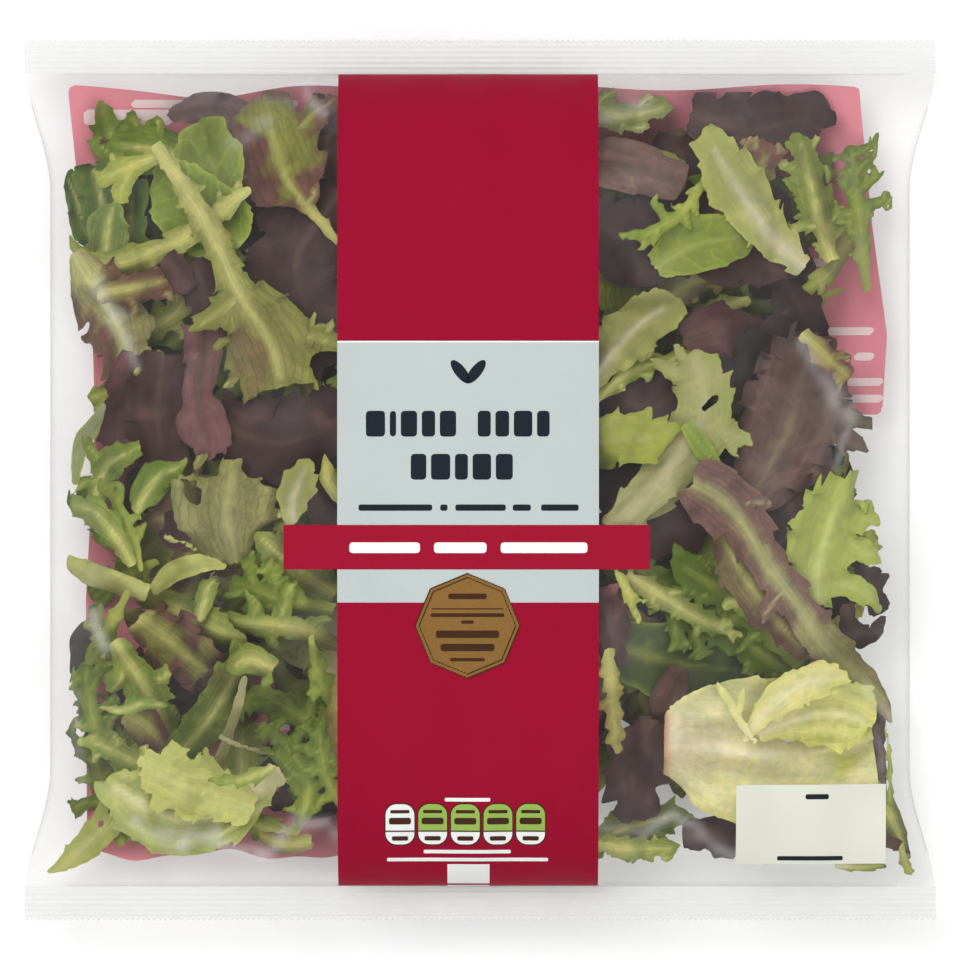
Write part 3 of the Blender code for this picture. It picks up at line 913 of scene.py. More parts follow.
MIDDLE_LEFT = [
    ("red", [(-72, 16, 10), (-56, 10, 13), (-40, 14, 12)], dict(tone=0.82)),
    ("red", [(-94, 34, 5), (-98, 22, 6), (-100, 10, 5)],
     dict(blade=(98, 58, 62), patch=(120, 74, 78), patch_share=0.5)),
    ("green", [(-94, 30, 1.5), (-90, 27, 4), (-84, 25, 4.4), (-81, 27, 2)],
     whole(blade=(58, 78, 38), edge=(66, 92, 40), rib=(0.7, 0.3), tone=0.85)),
    ("red", [(-86, 34, 6), (-88, 20, 10), (-87, 8, 8)], dict(tone=0.95)),
    ("red", [(-75.5, 42, 6), (-75.5, 33, 5.4), (-77, 25, 4.4), (-76, 17, 7), (-74, 11, 6.5), (-74.5, 8, 3)],
     dict(blade=(118, 82, 84), edge=(92, 62, 66), patch=(130, 98, 94), lobes=(20, 0.1), teeth=(9, 1.4),
      bow=1.5)),
    ("frisee", [(-92, -28, 4), (-100, -16, 9), (-109, -4, 9)], dict(tone=0.85)),
    ("frisee", [(-88, -22, 4), (-96, -26, 6), (-106, -32, 6)], dict(tone=0.9)),
    ("smooth", [(-102.5, 20.5, 0.8), (-106, 15, 2.2), (-110, 9, 2.6), (-111.5, 0, 1.5)],
     dict(blade=(128, 142, 110), rib_tint=(150, 164, 128), rib=(0.7, 0.4))),
    ("green", [(-106, -10, 1.4), (-105, -3, 3), (-102, 4, 5), (-97, 7, 4), (-93.5, 9, 1)],
     whole(blade=(118, 140, 68), teeth=(6, 3.2), rib=(0.9, 0.3), lobes=(8, 0.3),
      spikes=[[(-103, 4, 3), (-107, 9, 2), (-109, 13, 0.4)],
      [(-104, 0, 3), (-109, -1, 1.6), (-112, -4, 0.3)]])),
    ("green", [(-94, -9, 1.5), (-91.5, -4, 4.5), (-87, 1.5, 4.5), (-82, 3.5, 2), (-80, 5.5, 0.6)],
     whole(blade=(110, 138, 60), teeth=(7, 1.4), rib=(0.8, 0.3), lift=0.4)),
    ("red", [(-46, -1, 3), (-43, -8, 4), (-41, -12, 2)], dict(tone=1.35, lobes=(20, 0.05))),
    ("green", [(-37, -6, 1.5), (-41, 0, 2.6), (-42, 6, 1.2)], whole(blade=(170, 172, 96), teeth=(4, 1.6))),
    ("frisee", [(-92.5, -25, 2), (-95, -16, 6), (-99.5, -6, 6), (-102, -2, 3)],
     dict(tone=1.1, blade=(122, 144, 62))),
    ("green", [(-95, -23.5, 1.5), (-99, -16, 3.6), (-105, -9, 4.6), (-111, -7, 3)],
     whole(blade=(134, 154, 84), teeth=(4.4, 2.8), rib=(0.9, 0.4), lobes=(7, 0.25))),
    ("green", [(-66.8, -22.6, 4), (-67.5, -19, 9), (-68.5, -14, 13), (-68.8, -8, 15.5), (-67.5, -2, 16.5),
     (-66.5, 1, 15.5)],
     whole(blade=(154, 156, 104), rib_tint=(166, 168, 118), edge=(150, 158, 92), patch=(146, 152, 92),
      teeth=(7, 4.6), lobes=(12, 0.3), cup=-4.0, bow=3.0, rib=(1.6, 0.6), lift=0.5, tip=5, tone=0.84,
      fold_height=2.0, furrows=(2.6, 1.5, 0.16), holes=[(-79.2, -1.6, 2.6), (-78.4, -5, 2.5),
      (-73.5, 3.5, 3.2), (-80, 5, 2.6), (-55, 1, 3.6), (-61.6, 3.4, 2.9), (-68, 6.5, 1.6)])),
    ("green", [(-54.5, -10, 1), (-50.5, -4, 1.6), (-47.5, 1, 1.2), (-45.6, 4, 0.4)],
     whole(blade=(146, 152, 90), teeth=(4, 1.2), rib=(0.7, 0.3))),
    ("heart", [(-51, -12, 2), (-51, -6, 4.5), (-49, 0, 5), (-47.5, 3, 3)],
     dict(blade=(150, 158, 92), rib=(0.8, 0.4), teeth=(5, 2.4), tone=0.72, cup=-2)),
    ("green", [(-93, -14, 0.7), (-86, -15.5, 0.8), (-79, -18, 0.8), (-74, -21, 0.8)],
     whole(blade=(112, 132, 66), rib=(0.6, 0.5))),
    ("green", [(-40, -31, 3), (-47, -26, 8), (-54, -21, 7), (-59, -16, 3)],
     whole(blade=(146, 156, 94), teeth=(5, 2.8), rib=(1.2, 0.4))),
    ("frisee", [(-40, -36, 8), (-54, -33, 11), (-66, -28, 9)], dict(tone=1.0)),
    ("green", [(-38, -45.5, 2.8), (-48, -41, 3.4), (-58, -39.5, 3.6), (-67, -39, 3.0), (-72, -36, 2)],
     whole(rib=(1.8, 1.0), teeth=(8, 3.0), blade=(126, 148, 70),
      spikes=[[(-55, -40, 3), (-53, -34, 2.4), (-51, -28, 1.4), (-47, -25, 0.4)],
      [(-62, -39, 3), (-61, -34, 2), (-64, -30, 0.5)], [(-47, -41, 3), (-43, -38, 1.6), (-39, -38, 0.4)],
      [(-57, -40, 3), (-56, -45, 1.6), (-53, -48, 0.4)]])),
    ("green", [(-92, -31, 3), (-86, -34.5, 5), (-78, -38.5, 6.5), (-70, -42, 5), (-65, -43.5, 2.4)],
     whole(rib=(2.0, 0.8), blade=(146, 160, 82), teeth=(7, 2.6))),
    ("green", [(-77, -38, 2), (-75, -33, 3), (-74, -29, 2.6), (-71.5, -27.5, 0.8)],
     whole(blade=(128, 150, 72), teeth=(4, 2), rib=(0.8, 0.3), lift=0.8)),
    ("heart", [(-89.5, -30.5, 1.8), (-85, -26, 2.8), (-80, -23.6, 3.0), (-74.5, -22.6, 2.4),
     (-70, -23.5, 1)],
     dict(blade=(158, 166, 84), rib_tint=(170, 176, 100), rib=(1.6, 0.8), teeth=(9, 0.6), ridge=0.8,
      tone=0.95)),
    ("heart", [(-91, -31, 2.8), (-99, -28, 3.3), (-107, -25.5, 3.4), (-113, -23, 2.6)],
     dict(blade=(166, 174, 98), rib_tint=(178, 182, 116), rib=(2.4, 1.8), teeth=(9, 1.2), ridge=0.8,
      edge=(156, 168, 84), tone=1.04)),
]
BOTTOM_LEFT = [
    ("red", [(-104, -40, 4), (-108, -46, 6.5), (-109, -50, 5)],
     dict(teeth=(12, 0.3), lobes=(30, 0.02), blade=(104, 102, 104), edge=(96, 94, 98),
      patch=(118, 114, 114))),
    ("red", [(-98, -52, 8), (-88, -60, 10), (-76, -58, 8)], dict(tone=0.75)),
    ("frisee", [(-98, -100, 6), (-104, -84, 11), (-106, -64, 10)], dict(tone=0.8)),
    ("frisee", [(-90, -96, 5), (-94, -78, 10), (-96, -62, 9)], dict(tone=0.75)),
    ("frisee", [(-56, -50, 8), (-48, -66, 13), (-42, -84, 11)], dict(tone=0.7)),
    ("green", [(-72, -100, 5), (-66, -84, 10), (-66, -70, 9)], dict(tone=0.75)),
    ("blush", [(-98, -36, 4), (-93, -40, 5), (-90, -45, 3)], dict(patch_share=0.8, ruffle=(4.5, 7))),
    ("green", [(-100, -58, 3), (-103, -50, 5), (-104, -42, 5), (-106, -36, 3)],
     dict(blade=(96, 120, 54), cut=(0.6, 6, 0.3, 2), teeth=(4, 2.6), tone=0.9)),
    ("frisee", [(-96, -30, 3), (-100, -38, 6), (-104, -46, 6), (-108, -52, 3)], dict(tone=0.95)),
    ("frisee", [(-98, -80, 7), (-106, -66, 9), (-108, -52, 8)], dict(tone=0.95, blade=(96, 120, 66))),
    ("blush", [(-93, -38, 5), (-84, -45, 9), (-75, -52, 7)], whole(patch_share=0.6, ruffle=(4.0, 8))),
    ("green", [(-99.5, -44, 4), (-93.5, -54, 10), (-87.5, -64, 9), (-84.5, -73, 2.5)],
     dict(cut=(0.6, 9, 0.3, 2), blade=(130, 148, 68), teeth=(6, 3), rib=(1.2, 0.5))),
    ("blush", [(-97, -64, 3), (-92, -67, 5.5), (-86.5, -73, 3)], whole(patch_share=0.85, teeth=(9, 0.6))),
    ("green", [(-104, -62, 1), (-98, -63, 1.6), (-92, -61, 2.2), (-86, -61.5, 1)],
     whole(blade=(112, 140, 78), rib=(0.6, 0.3))),
    ("green", [(-63, -46, 5), (-68, -56, 6), (-76, -68, 6), (-84, -77, 5)],
     whole(blade=(116, 136, 62), teeth=(8, 2.2), rib=(0.9, 0.5))),
    ("green", [(-57, -52, 3.4), (-62, -49, 4.6), (-66, -50, 3.6)],
     whole(blade=(138, 156, 84), teeth=(6, 1.6))),
    ("green", [(-87, -82, 3), (-94, -77.5, 6), (-102, -73.5, 5), (-109, -71, 1.4)],
     dict(cut=(0.7, 7, 0.3, 1), blade=(132, 150, 74), teeth=(4, 2.4), rib=(1.0, 0.4))),
    ("frisee", [(-38, -70, 6), (-48, -66, 10), (-60, -58, 9)], dict(tone=1.0, blade=(116, 136, 72))),
    ("frisee", [(-50, -96, 5), (-47, -84, 11), (-52, -74, 10), (-58, -68, 5)],
     dict(tone=1.15, blade=(104, 138, 42))),
    ("frisee", [(-36, -92, 5), (-42, -80, 9), (-44, -68, 8)], dict(tone=0.95, blade=(96, 130, 40))),
    ("frisee", [(-46, -42, 3), (-44, -52, 7), (-40, -62, 6)], dict(tone=1.05, blade=(120, 144, 74))),
    ("blush", [(-37, -54, 3), (-38, -64, 4.5), (-37, -74, 3)],
     whole(patch=(140, 126, 60), patch_share=0.5)),
    ("green", [(-50, -98, 3), (-58, -96, 4.6), (-65, -92, 3)], whole(blade=(124, 142, 56), lobes=(9, 0.2))),
    ("blush", [(-46, -99, 2.4), (-54, -99.5, 3), (-60, -97, 1.4)], whole(patch_share=0.8)),
    ("heart", [(-64, -53, 1.0), (-65.5, -60, 1.3), (-68.5, -69, 1.6), (-72.5, -80, 1.8)],
     dict(blade=(168, 164, 122), rib_tint=(180, 174, 132), rib=(1.2, 1.2), ridge=0.8, teeth=(9, 0.8),
      tone=0.74)),
    ("heart", [(-71, -70, 1.0), (-64, -73, 0.8), (-57, -75, 0.7)],
     dict(blade=(160, 162, 112), rib=(0.6, 0.5), tone=0.74)),
    ("heart", [(-119, -110, 1.8), (-112, -104, 3.2), (-105, -97, 4.8), (-99, -90, 5.5), (-97, -87, 4)],
     dict(blade=(160, 174, 84), rib=(1.6, 0.6), rib_tint=(196, 200, 130), teeth=(8, 2), tone=0.78, tip=2.5,
      holes=[(-104, -94.5, 0.9), (-101.5, -91, 0.8)])),
    ("heart", [(-54.5, -80, 3.0), (-62, -85, 5.5), (-71, -91, 9.5), (-82, -92.5, 11.5), (-93, -88, 11),
     (-100, -84.5, 6)],
     dict(blade=(182, 190, 120), edge=(180, 192, 104), patch=(182, 192, 98), teeth=(6.5, 2.6),
      rib=(2.2, 0.8), lift=0.6, tone=1.0, tip=4, furrows=(3.4, 1.0, 0.07))),
    ("heart", [(-62, -90, 5), (-70, -87, 9), (-79, -84, 11), (-87, -81, 8)],
     dict(cut=(0.8, 8, 0.3, 2), blade=(194, 198, 124), edge=(184, 192, 100), patch=(196, 200, 112),
      teeth=(4.6, 3.2), rib_tint=(196, 200, 130), rib=(1.2, 0.5), tone=1.0, lift=0.6,
      furrows=(4.4, 0.6, 0.05), spikes=[[(-72, -82, 4), (-75, -77, 2), (-75.5, -73.5, 0.4)]])),
    ("green", [(-56, -78, 0.9), (-61, -80.5, 2.2), (-68, -82, 2.0), (-75, -81.5, 0.8)],
     whole(blade=(138, 162, 58), rib=(0.7, 0.3), lift=0.8)),
]
RIGHT_TOP = [
    ("green", [(28, 104, 6), (38, 100, 9), (50, 102, 6)], dict(blade=(128, 140, 84), ruffle=(3.4, 8))),
    ("red", [(30, 70, 10), (42, 66, 14), (56, 72, 10)], dict(tone=0.8)),
    ("red", [(58, 100, 8), (74, 96, 12), (90, 100, 8)], dict()),
    ("green", [(96, 60, 5), (92, 76, 11), (88, 92, 8)], dict(blade=(132, 148, 72))),
    ("blush", [(62, 62, 3), (70, 76, 9), (78, 88, 8)], dict()),
    ("frisee", [(106, 52, 5), (104, 70, 9), (102, 90, 8)], dict()),
    ("red", [(26, 87, 5), (38, 86, 7.5), (52, 82, 6)],
     dict(blade=(118, 92, 88), edge=(100, 72, 72), patch=(132, 108, 98), lobes=(24, 0.05), teeth=(9, 0.6))),
    ("smooth", [(48, 58, 4), (58, 64, 8), (70, 66, 6)], dict()),
    ("frisee", [(62, 82, 4), (54, 72, 6), (44, 66, 6)], dict(tone=1.1)),
    ("heart", [(88, 58, 3), (80, 66, 6), (70, 80, 9), (64, 90, 6)],
     dict(blade=(172, 182, 104), teeth=(6, 3), rib=(1.8, 0.6), tone=0.78)),
]
RIGHT_MIDDLE = [
    ("red", [(34, -8, 8), (44, 0, 12), (52, -14, 10)], dict(tone=0.85)),
    ("red", [(34, 26, 8), (46, 20, 11), (62, 30, 9)], dict(tone=0.75)),
    ("red", [(88, -22, 8), (84, -4, 12), (82, 12, 9)], dict(tone=0.85)),
    ("blush", [(56, 24, 4), (66, 30, 9), (74, 38, 8)], dict(patch_share=0.2, blade=(124, 134, 66))),
    ("red", [(56, 38, 5), (66, 41, 8), (76, 40, 4)], dict(tone=1.25, blade=(92, 62, 66))),
    ("red", [(66, 18, 4), (72, 27, 9), (80, 38, 8), (84, 44, 3)], dict(tone=0.85, blade=(60, 56, 58))),
    ("red", [(74, -4, 5), (79, 4, 11), (84, 13, 15), (87, 22, 15.5), (88.5, 30, 12), (88.5, 36, 6)],
     dict(blade=(104, 78, 76), rib_tint=(118, 104, 84), patch=(122, 112, 88), patch_share=0.45,
      teeth=(6, 2.4), lobes=(12, 0.22), rib=(1.4, 0.5), bow=2.0, fold_height=2.4, ruffle=(3.4, 9),
      furrows=(3.2, 1.3, 0.14), spikes=[[(94, 17, 6), (102, 16.5, 3.2), (108.3, 15.5, 1.6)],
      [(94, 12, 5), (101, 11, 3.2), (107, 7.5, 0.4)], [(90, 4, 5), (94.5, -0.5, 3.4), (97, -4, 1)],
      [(86, 34, 5), (85, 39, 2.4), (86, 43, 0.5)]])),
    ("blush", [(88, 40, 3), (93, 35, 6.5), (99, 30, 5)],
     dict(patch_share=0.1, blade=(168, 152, 84), tone=1.1)),
    ("green", [(32, 22, 3), (42, 30, 4.5), (56, 34, 3.5)], dict(blade=(88, 116, 44), rib=(0.9, 0.4))),
    ("heart", [(30, 27, 3), (36, 35, 7), (43, 42, 8), (50, 47, 6)],
     dict(blade=(168, 172, 104), rib=(1.2, 0.5), tone=0.76, teeth=(6, 2))),
    ("heart", [(36, -14, 3), (44, -8, 4.5), (52, -1, 5.5), (58, 6, 5)],
     dict(blade=(172, 174, 120), rib=(1.2, 0.5), tone=0.76)),
    ("heart", [(35.5, -13, 2.6), (41, -8, 5), (47.4, -1.5, 7), (53, 5, 8), (58.5, 12, 9), (61, 20, 8.6),
     (60, 28, 7.6), (58.5, 33, 5)],
     dict(blade=(180, 184, 122), rib_tint=(196, 194, 146), edge=(172, 184, 92), patch=(172, 184, 96),
      patch_share=0.35, teeth=(6, 3.2), lobes=(9, 0.18), rib=(3.0, 0.9), bow=1.5, lift=0.6, tip=3.5,
      tone=0.8, holes=[(61.5, 19.8, 1.0), (62.8, 21, 1.2), (64, 22.2, 0.9), (50.5, 25.5, 2.6),
      (52.5, 21, 1.8)], spikes=[[(53, 29, 3.4), (49.5, 31.2, 1.8), (46.2, 32.8, 0.3)],
      [(65, 14, 4), (70.5, 11.7, 2.6), (75.5, 9.2, 0.4)], [(66, 12, 3), (69, 8.6, 1.5), (70, 5.6, 0.3)],
      [(56, 33, 3), (54, 35.5, 1.6), (52.6, 37.6, 0.3)]])),
    ("heart", [(29, 10, 7), (38, 11, 7.5), (45, 11.5, 6.6), (50, 12.5, 4), (53, 14.2, 1.6)],
     dict(blade=(174, 184, 84), edge=(160, 176, 62), rib_tint=(178, 186, 96), teeth=(7, 2.8),
      rib=(1.2, 0.5), tone=0.8, spikes=[[(44, 13, 4), (45.5, 17.5, 1.8), (46.5, 19.6, 0.4)]])),
    ("smooth", [(56, 15, 1.8), (61, 8, 2.8), (67.3, -0.2, 0.6)],
     dict(blade=(98, 136, 44), rib=(0.6, 0.3), tip=2, lift=0.6)),
    ("heart", [(92, -34, 3), (92, -25, 8), (94.5, -16, 11), (97, -8.5, 9.5), (98.5, -4, 5)],
     dict(blade=(168, 180, 98), edge=(154, 172, 74), rib_tint=(184, 192, 122), patch=(158, 174, 78),
      ruffle=(4.4, 8), teeth=(5, 3.4), lobes=(9, 0.28), rib=(1.4, 0.5), tone=1.0, fold_height=3.4,
      furrows=(2.4, 1.2, 0.12), spikes=[[(98, -28, 5), (105, -31, 3.8), (109.6, -35.5, 0.8)],
      [(102, -18, 5), (107.5, -21, 2.4), (109.4, -22.5, 0.4)],
      [(102, -10, 4), (107, -10.5, 2.4), (109, -12.5, 0.4)],
      [(90, -8, 3), (91.5, -4, 1.6), (92, -2, 0.3)]])),
]
RIGHT_BOTTOM = [
    ("red", [(100, -34, 2), (102, -41, 3.4), (107, -43, 3), (110, -38, 1.2)],
     dict(tone=0.8, teeth=(6, 1.0))),
    ("smooth", [(38, -46, 8), (54, -50, 11), (70, -52, 9)], dict(tone=0.6, blade=(80, 100, 50))),
    ("frisee", [(36, -22, 8), (54, -32, 13), (72, -44, 12), (84, -52, 8)],
     dict(tone=0.74, cut=(0.5, 7, 0.16, 4))),
    ("frisee", [(88, -50, 6), (72, -34, 12), (56, -24, 10)], dict(tone=0.82, cut=(0.45, 7, 0.16, 4))),
    ("green", [(40, -26, 4), (50, -32, 7), (60, -38, 6), (70, -42, 2)],
     dict(blade=(84, 106, 46), tone=0.9)),
    ("green", [(66, -35, 1), (70, -33, 2.4), (76, -37, 2.6), (82, -34, 1.2)],
     whole(blade=(112, 144, 50), teeth=(9, 1.4), rib=(0.8, 0.3),
      spikes=[[(70, -34, 2), (72, -29, 1.2), (72.5, -27, 0.3)]])),
    ("red", [(32, -30, 6), (35, -38, 6), (37, -46, 4)],
     dict(tone=1.35, patch=(128, 84, 88), patch_share=0.5)),
    ("green", [(36, -23, 0.8), (40, -30, 1.8), (43, -38, 1.2)],
     whole(blade=(180, 184, 96), rib=(0.6, 0.3),
      spikes=[[(41, -32, 1), (44, -33, 0.8), (46, -31.5, 0.3)]])),
    ("green", [(30, -98, 6), (42, -95, 10), (54, -92, 7)], dict(blade=(110, 132, 54), tone=0.95)),
    ("green", [(30, -99, 4.5), (40, -101, 5.5), (52, -101, 4.5)],
     dict(blade=(146, 160, 84), cut=(0.7, 8, 0.3, 1))),
    ("red", [(56, -97, 4), (66, -98, 6), (78, -100, 4)], dict(tone=1.0)),
    ("red", [(55, -52, 4), (51, -60, 5), (49, -68, 3)], dict(blade=(112, 80, 78))),
    ("red", [(48, -66, 5), (43, -76, 10), (42, -86, 8)],
     dict(blade=(88, 64, 66), teeth=(7, 3.0), lobes=(10, 0.3))),
    ("blush", [(35, -46, 3), (36, -58, 4.4), (37, -72, 2.6)],
     dict(blade=(160, 164, 84), patch_share=0.25, cut=(0.6, 8, 0.3, 1), patch=(170, 150, 70))),
    ("red", [(111, -60, 1.5), (109.5, -72, 2.4), (109, -86, 3)], dict(blade=(112, 84, 72))),
    ("green", [(107.5, -83, 1.5), (111, -90, 4.4), (115, -97, 5), (118.5, -103, 1.6)],
     whole(blade=(120, 136, 78), edge=(112, 96, 62), teeth=(9, 0.8))),
    ("red", [(108, -100, 0.8), (113, -99.5, 1.8), (119, -102, 0.8)],
     dict(blade=(128, 84, 60), teeth=(9, 0.3))),
    ("green", [(111, -66, 0.5), (113, -76, 1.2), (112.5, -88, 1.6)],
     whole(rib=(0.5, 0.3), blade=(132, 160, 80))),
    ("green", [(115.5, -100, 1.4), (118.5, -109.5, 2.4)],
     whole(blade=(170, 184, 110), rib=(1.2, 1.0), tone=0.78, tip=2)),
    ("green", [(98, -106, 2), (104, -107, 3), (110, -106, 1.5)], whole(blade=(116, 144, 56))),
    ("blush", [(66, -14, 4), (72, -26, 7), (80, -37, 6), (88, -46, 3)],
     whole(blade=(126, 118, 84), patch=(108, 78, 80), patch_share=0.6, teeth=(6, 2.6), rib=(0.8, 0.3))),
    ("blush", [(58, -1, 6), (65, -5, 9.5), (71, -11, 7.5), (77, -21, 5.6), (85, -32, 5.4), (94, -44, 5.8),
     (104, -54.5, 5), (111, -62, 2.6), (114.5, -67, 0.6)],
     dict(blade=(160, 160, 112), patch=(118, 84, 90), edge=(128, 104, 92), rib=(1.4, 1.0),
      rib_tint=(168, 168, 122), blush_along=(2.0, -2.4), cut=None, teeth=(11, 2.6), lobes=(24, 0.15),
      lift=0.6, spikes=[[(60, -3, 4), (56, -3.6, 2.6), (53.6, -4.6, 0.4)],
      [(73, -6, 4), (77, -6.5, 2), (80.4, -6, 0.3)], [(82, -31, 4), (78, -36, 1.8), (77, -39, 0.3)]])),
    ("heart", [(50.5, -72, 9.0), (56, -72, 14), (66, -73, 19), (82, -74, 20), (98, -73, 18),
     (104.5, -72, 16)],
     dict(cut_tint=(178, 142, 104), teeth=(11, 1.4), lobes=(30, 0.06), rib=(4.0, 1.4), bow=3.5, lift=1.0,
      tip=3, blade=(210, 210, 172), rib_tint=(214, 208, 186), edge=(202, 206, 134), fold_height=2.6,
      ruffle=(2.0, 16), furrows=(3.6, 1.1, 0.05), tone=1.08, holes=[(84, -70.7, 1.1), (86.4, -71.0, 0.9)])),
    ("heart", [(76, -69, 2), (84, -66, 7), (93, -64, 10), (102, -65, 10), (105, -66, 8)],
     dict(blade=(208, 210, 140), edge=(196, 204, 108), patch=(202, 208, 118), teeth=(6, 2.6),
      rib=(1.2, 0.6), tip=2.5, fold_height=2.4, lobes=(9, 0.16), furrows=(4.2, 0.7, 0.05))),
    ("heart", [(72, -71, 1), (76, -65, 3), (84, -58, 5.5), (93, -54, 5), (99, -54, 2)],
     dict(blade=(212, 210, 152), edge=(204, 208, 124), teeth=(5, 2.2), rib=(1.0, 0.5))),
    ("heart", [(75, -71.5, 0.8), (71, -66, 1.2), (67, -59, 1.4), (63.8, -54, 0.5)],
     dict(blade=(204, 208, 122), rib=(0.8, 0.4),
      spikes=[[(70, -64, 1.2), (71.4, -59, 1), (71.6, -55.5, 0.3)]])),
]
TOPMOST = [
    ("green", [(-88.5, 91.5, 2.3), (-82.7, 82.5, 2.9), (-77.5, 74.5, 4.0), (-72.5, 66, 4.6),
     (-68.5, 57, 4.6), (-65, 50, 6.4), (-60.5, 43, 10.5), (-57, 37, 12.6), (-55.5, 32, 13.6),
     (-54.6, 27.5, 12)],
     whole(rib=(2.4, 0.6), teeth=(8.0, 4.0), lobes=(21, 0.14), blade=(142, 144, 84), bow=2.0, tip=2.5,
      rib_tint=(192, 196, 130), patch_share=0.5, patch=(128, 112, 80), sweep=0.9, lift=1.2, tone=0.94,
      holes=[(-41.5, 29.5, 4.6), (-40, 26, 3.4)], furrows=(3.4, 0.7, 0.05),
      spikes=[[(-65, 50, 5.4), (-69.5, 46.4, 4.8), (-75, 42.8, 2.6), (-79.8, 40.4, 0.3)],
      [(-66, 40, 4), (-69.6, 37.6, 2), (-72.4, 35.4, 0.3)],
      [(-63, 30, 4), (-67.6, 26.6, 2), (-70.4, 25.6, 0.3)],
      [(-79, 77.6, 1.6), (-76.5, 79.3, 1.0), (-74.3, 80.4, 0.3)],
      [(-80, 75.4, 1.6), (-81.8, 74.6, 0.9), (-83.4, 74.4, 0.3)],
      [(-57, 44, 4), (-53.0, 46.8, 1.8), (-51.6, 49.2, 0.3)],
      [(-54, 38, 6), (-46, 38.6, 4.2), (-38, 37, 3.0)],
      [(-48, 40, 2), (-45.6, 43.4, 1.2), (-44.8, 45.8, 0.3)],
      [(-42, 39, 2), (-40.6, 42, 1.2), (-40.2, 44.4, 0.3)],
      [(-50, 30, 3), (-49.4, 27, 2.4), (-50.6, 24, 1)],
      [(-44, 34.6, 2), (-42.6, 32.4, 1.2), (-41.6, 31, 0.3)]])),
]
VISIBLE = TOP_LEFT + MIDDLE_LEFT + BOTTOM_LEFT + RIGHT_TOP + RIGHT_MIDDLE + RIGHT_BOTTOM + TOPMOST

# Where the pack's back shows between the leaves: the scattered leaves are cut away there. (x, y, radius)
GAPS = [
    (-107, 88, 7), (-110, 38, 6), (-107, -24, 6), (-82, -14, 5), (-98, -43, 5), (-70, -57, 4),
    (-69, -75, 4), (-105, -90, 6), (57, -14, 4), (43, -45, 5), (83, -46, 3), (108, -8, 6),
]
HIDDEN_LEAVES = 84
SMALL_LEAVES = 56
HIDDEN_KINDS = {"green": 0.24, "frisee": 0.22, "red": 0.26, "blush": 0.14, "smooth": 0.08, "heart": 0.06}
SMALL_KINDS = {"green": 0.28, "frisee": 0.36, "red": 0.20, "blush": 0.16}
HIDDEN_PROFILE = ((-0.5, 0.3), (-0.2, 0.7), (0.1, 1.0), (0.35, 0.75))  # shares of the length and the width
SMALL_PROFILE = ((-0.5, 0.35), (-0.15, 0.8), (0.2, 1.0), (0.5, 0.6))
HIDDEN_LENGTH = (52, 84)
SMALL_LENGTH = (22, 42)
HIDDEN_LIMITS = (100, 94)
SMALL_LIMITS = (106, 98)
FILL_SEED = 4
HIDDEN_SEED = 1000  # of the first leaf
SMALL_SEED = 5000
SEED_STEP = 13  # from each leaf to the next
SHOWN_SEED = 7
SHOWN_SEED_STEP = 17
SMALL_SPACING = 1.3
SHOWN_SPACING = 1.0
HIDDEN_SPACING = 2.5


def drawn_kind(rng, kinds):
    return str(rng.choice(list(kinds), p=list(kinds.values())))


def bent_route(place, length, wide, angle, bend, profile, limits):
    """The line of a leaf about a place, which turns by bend over its length and stays within the limits."""
    route = []
    for share, width in profile:
        heading = angle + bend * share
        spot = place[0] + length * share * math.cos(heading), place[1] + length * share * math.sin(heading)
        inside = [float(np.clip(p, -limit, limit)) for p, limit in zip(spot, limits)]
        route.append((*inside, wide * width))
    return route


def scattered(rng):
    """A leaf somewhere in the bag, below those that are listed."""
    kind = drawn_kind(rng, HIDDEN_KINDS)
    length = rng.uniform(*HIDDEN_LENGTH)
    wide = length * rng.uniform(0.17, 0.26)
    place = rng.uniform(-88, 88), rng.uniform(-82, 82)
    angle = rng.uniform(0, 2 * math.pi)
    bend = rng.normal(0, 0.5)
    return kind, bent_route(place, length, wide, angle, bend, HIDDEN_PROFILE, HIDDEN_LIMITS)


def small_leaf(rng):
    """A small leaf or torn piece for the places beside the band, between the listed leaves."""
    kind = drawn_kind(rng, SMALL_KINDS)
    side = rng.choice((-1, 1), p=(0.58, 0.42))
    place = side * rng.uniform(38, 104), rng.uniform(-98, 92)
    length, angle = rng.uniform(*SMALL_LENGTH), rng.uniform(0, 2 * math.pi)
    bend, wide = rng.normal(0, 0.8), length * rng.uniform(0.18, 0.30)
    return kind, bent_route(place, length, wide, angle, bend, SMALL_PROFILE, SMALL_LIMITS)


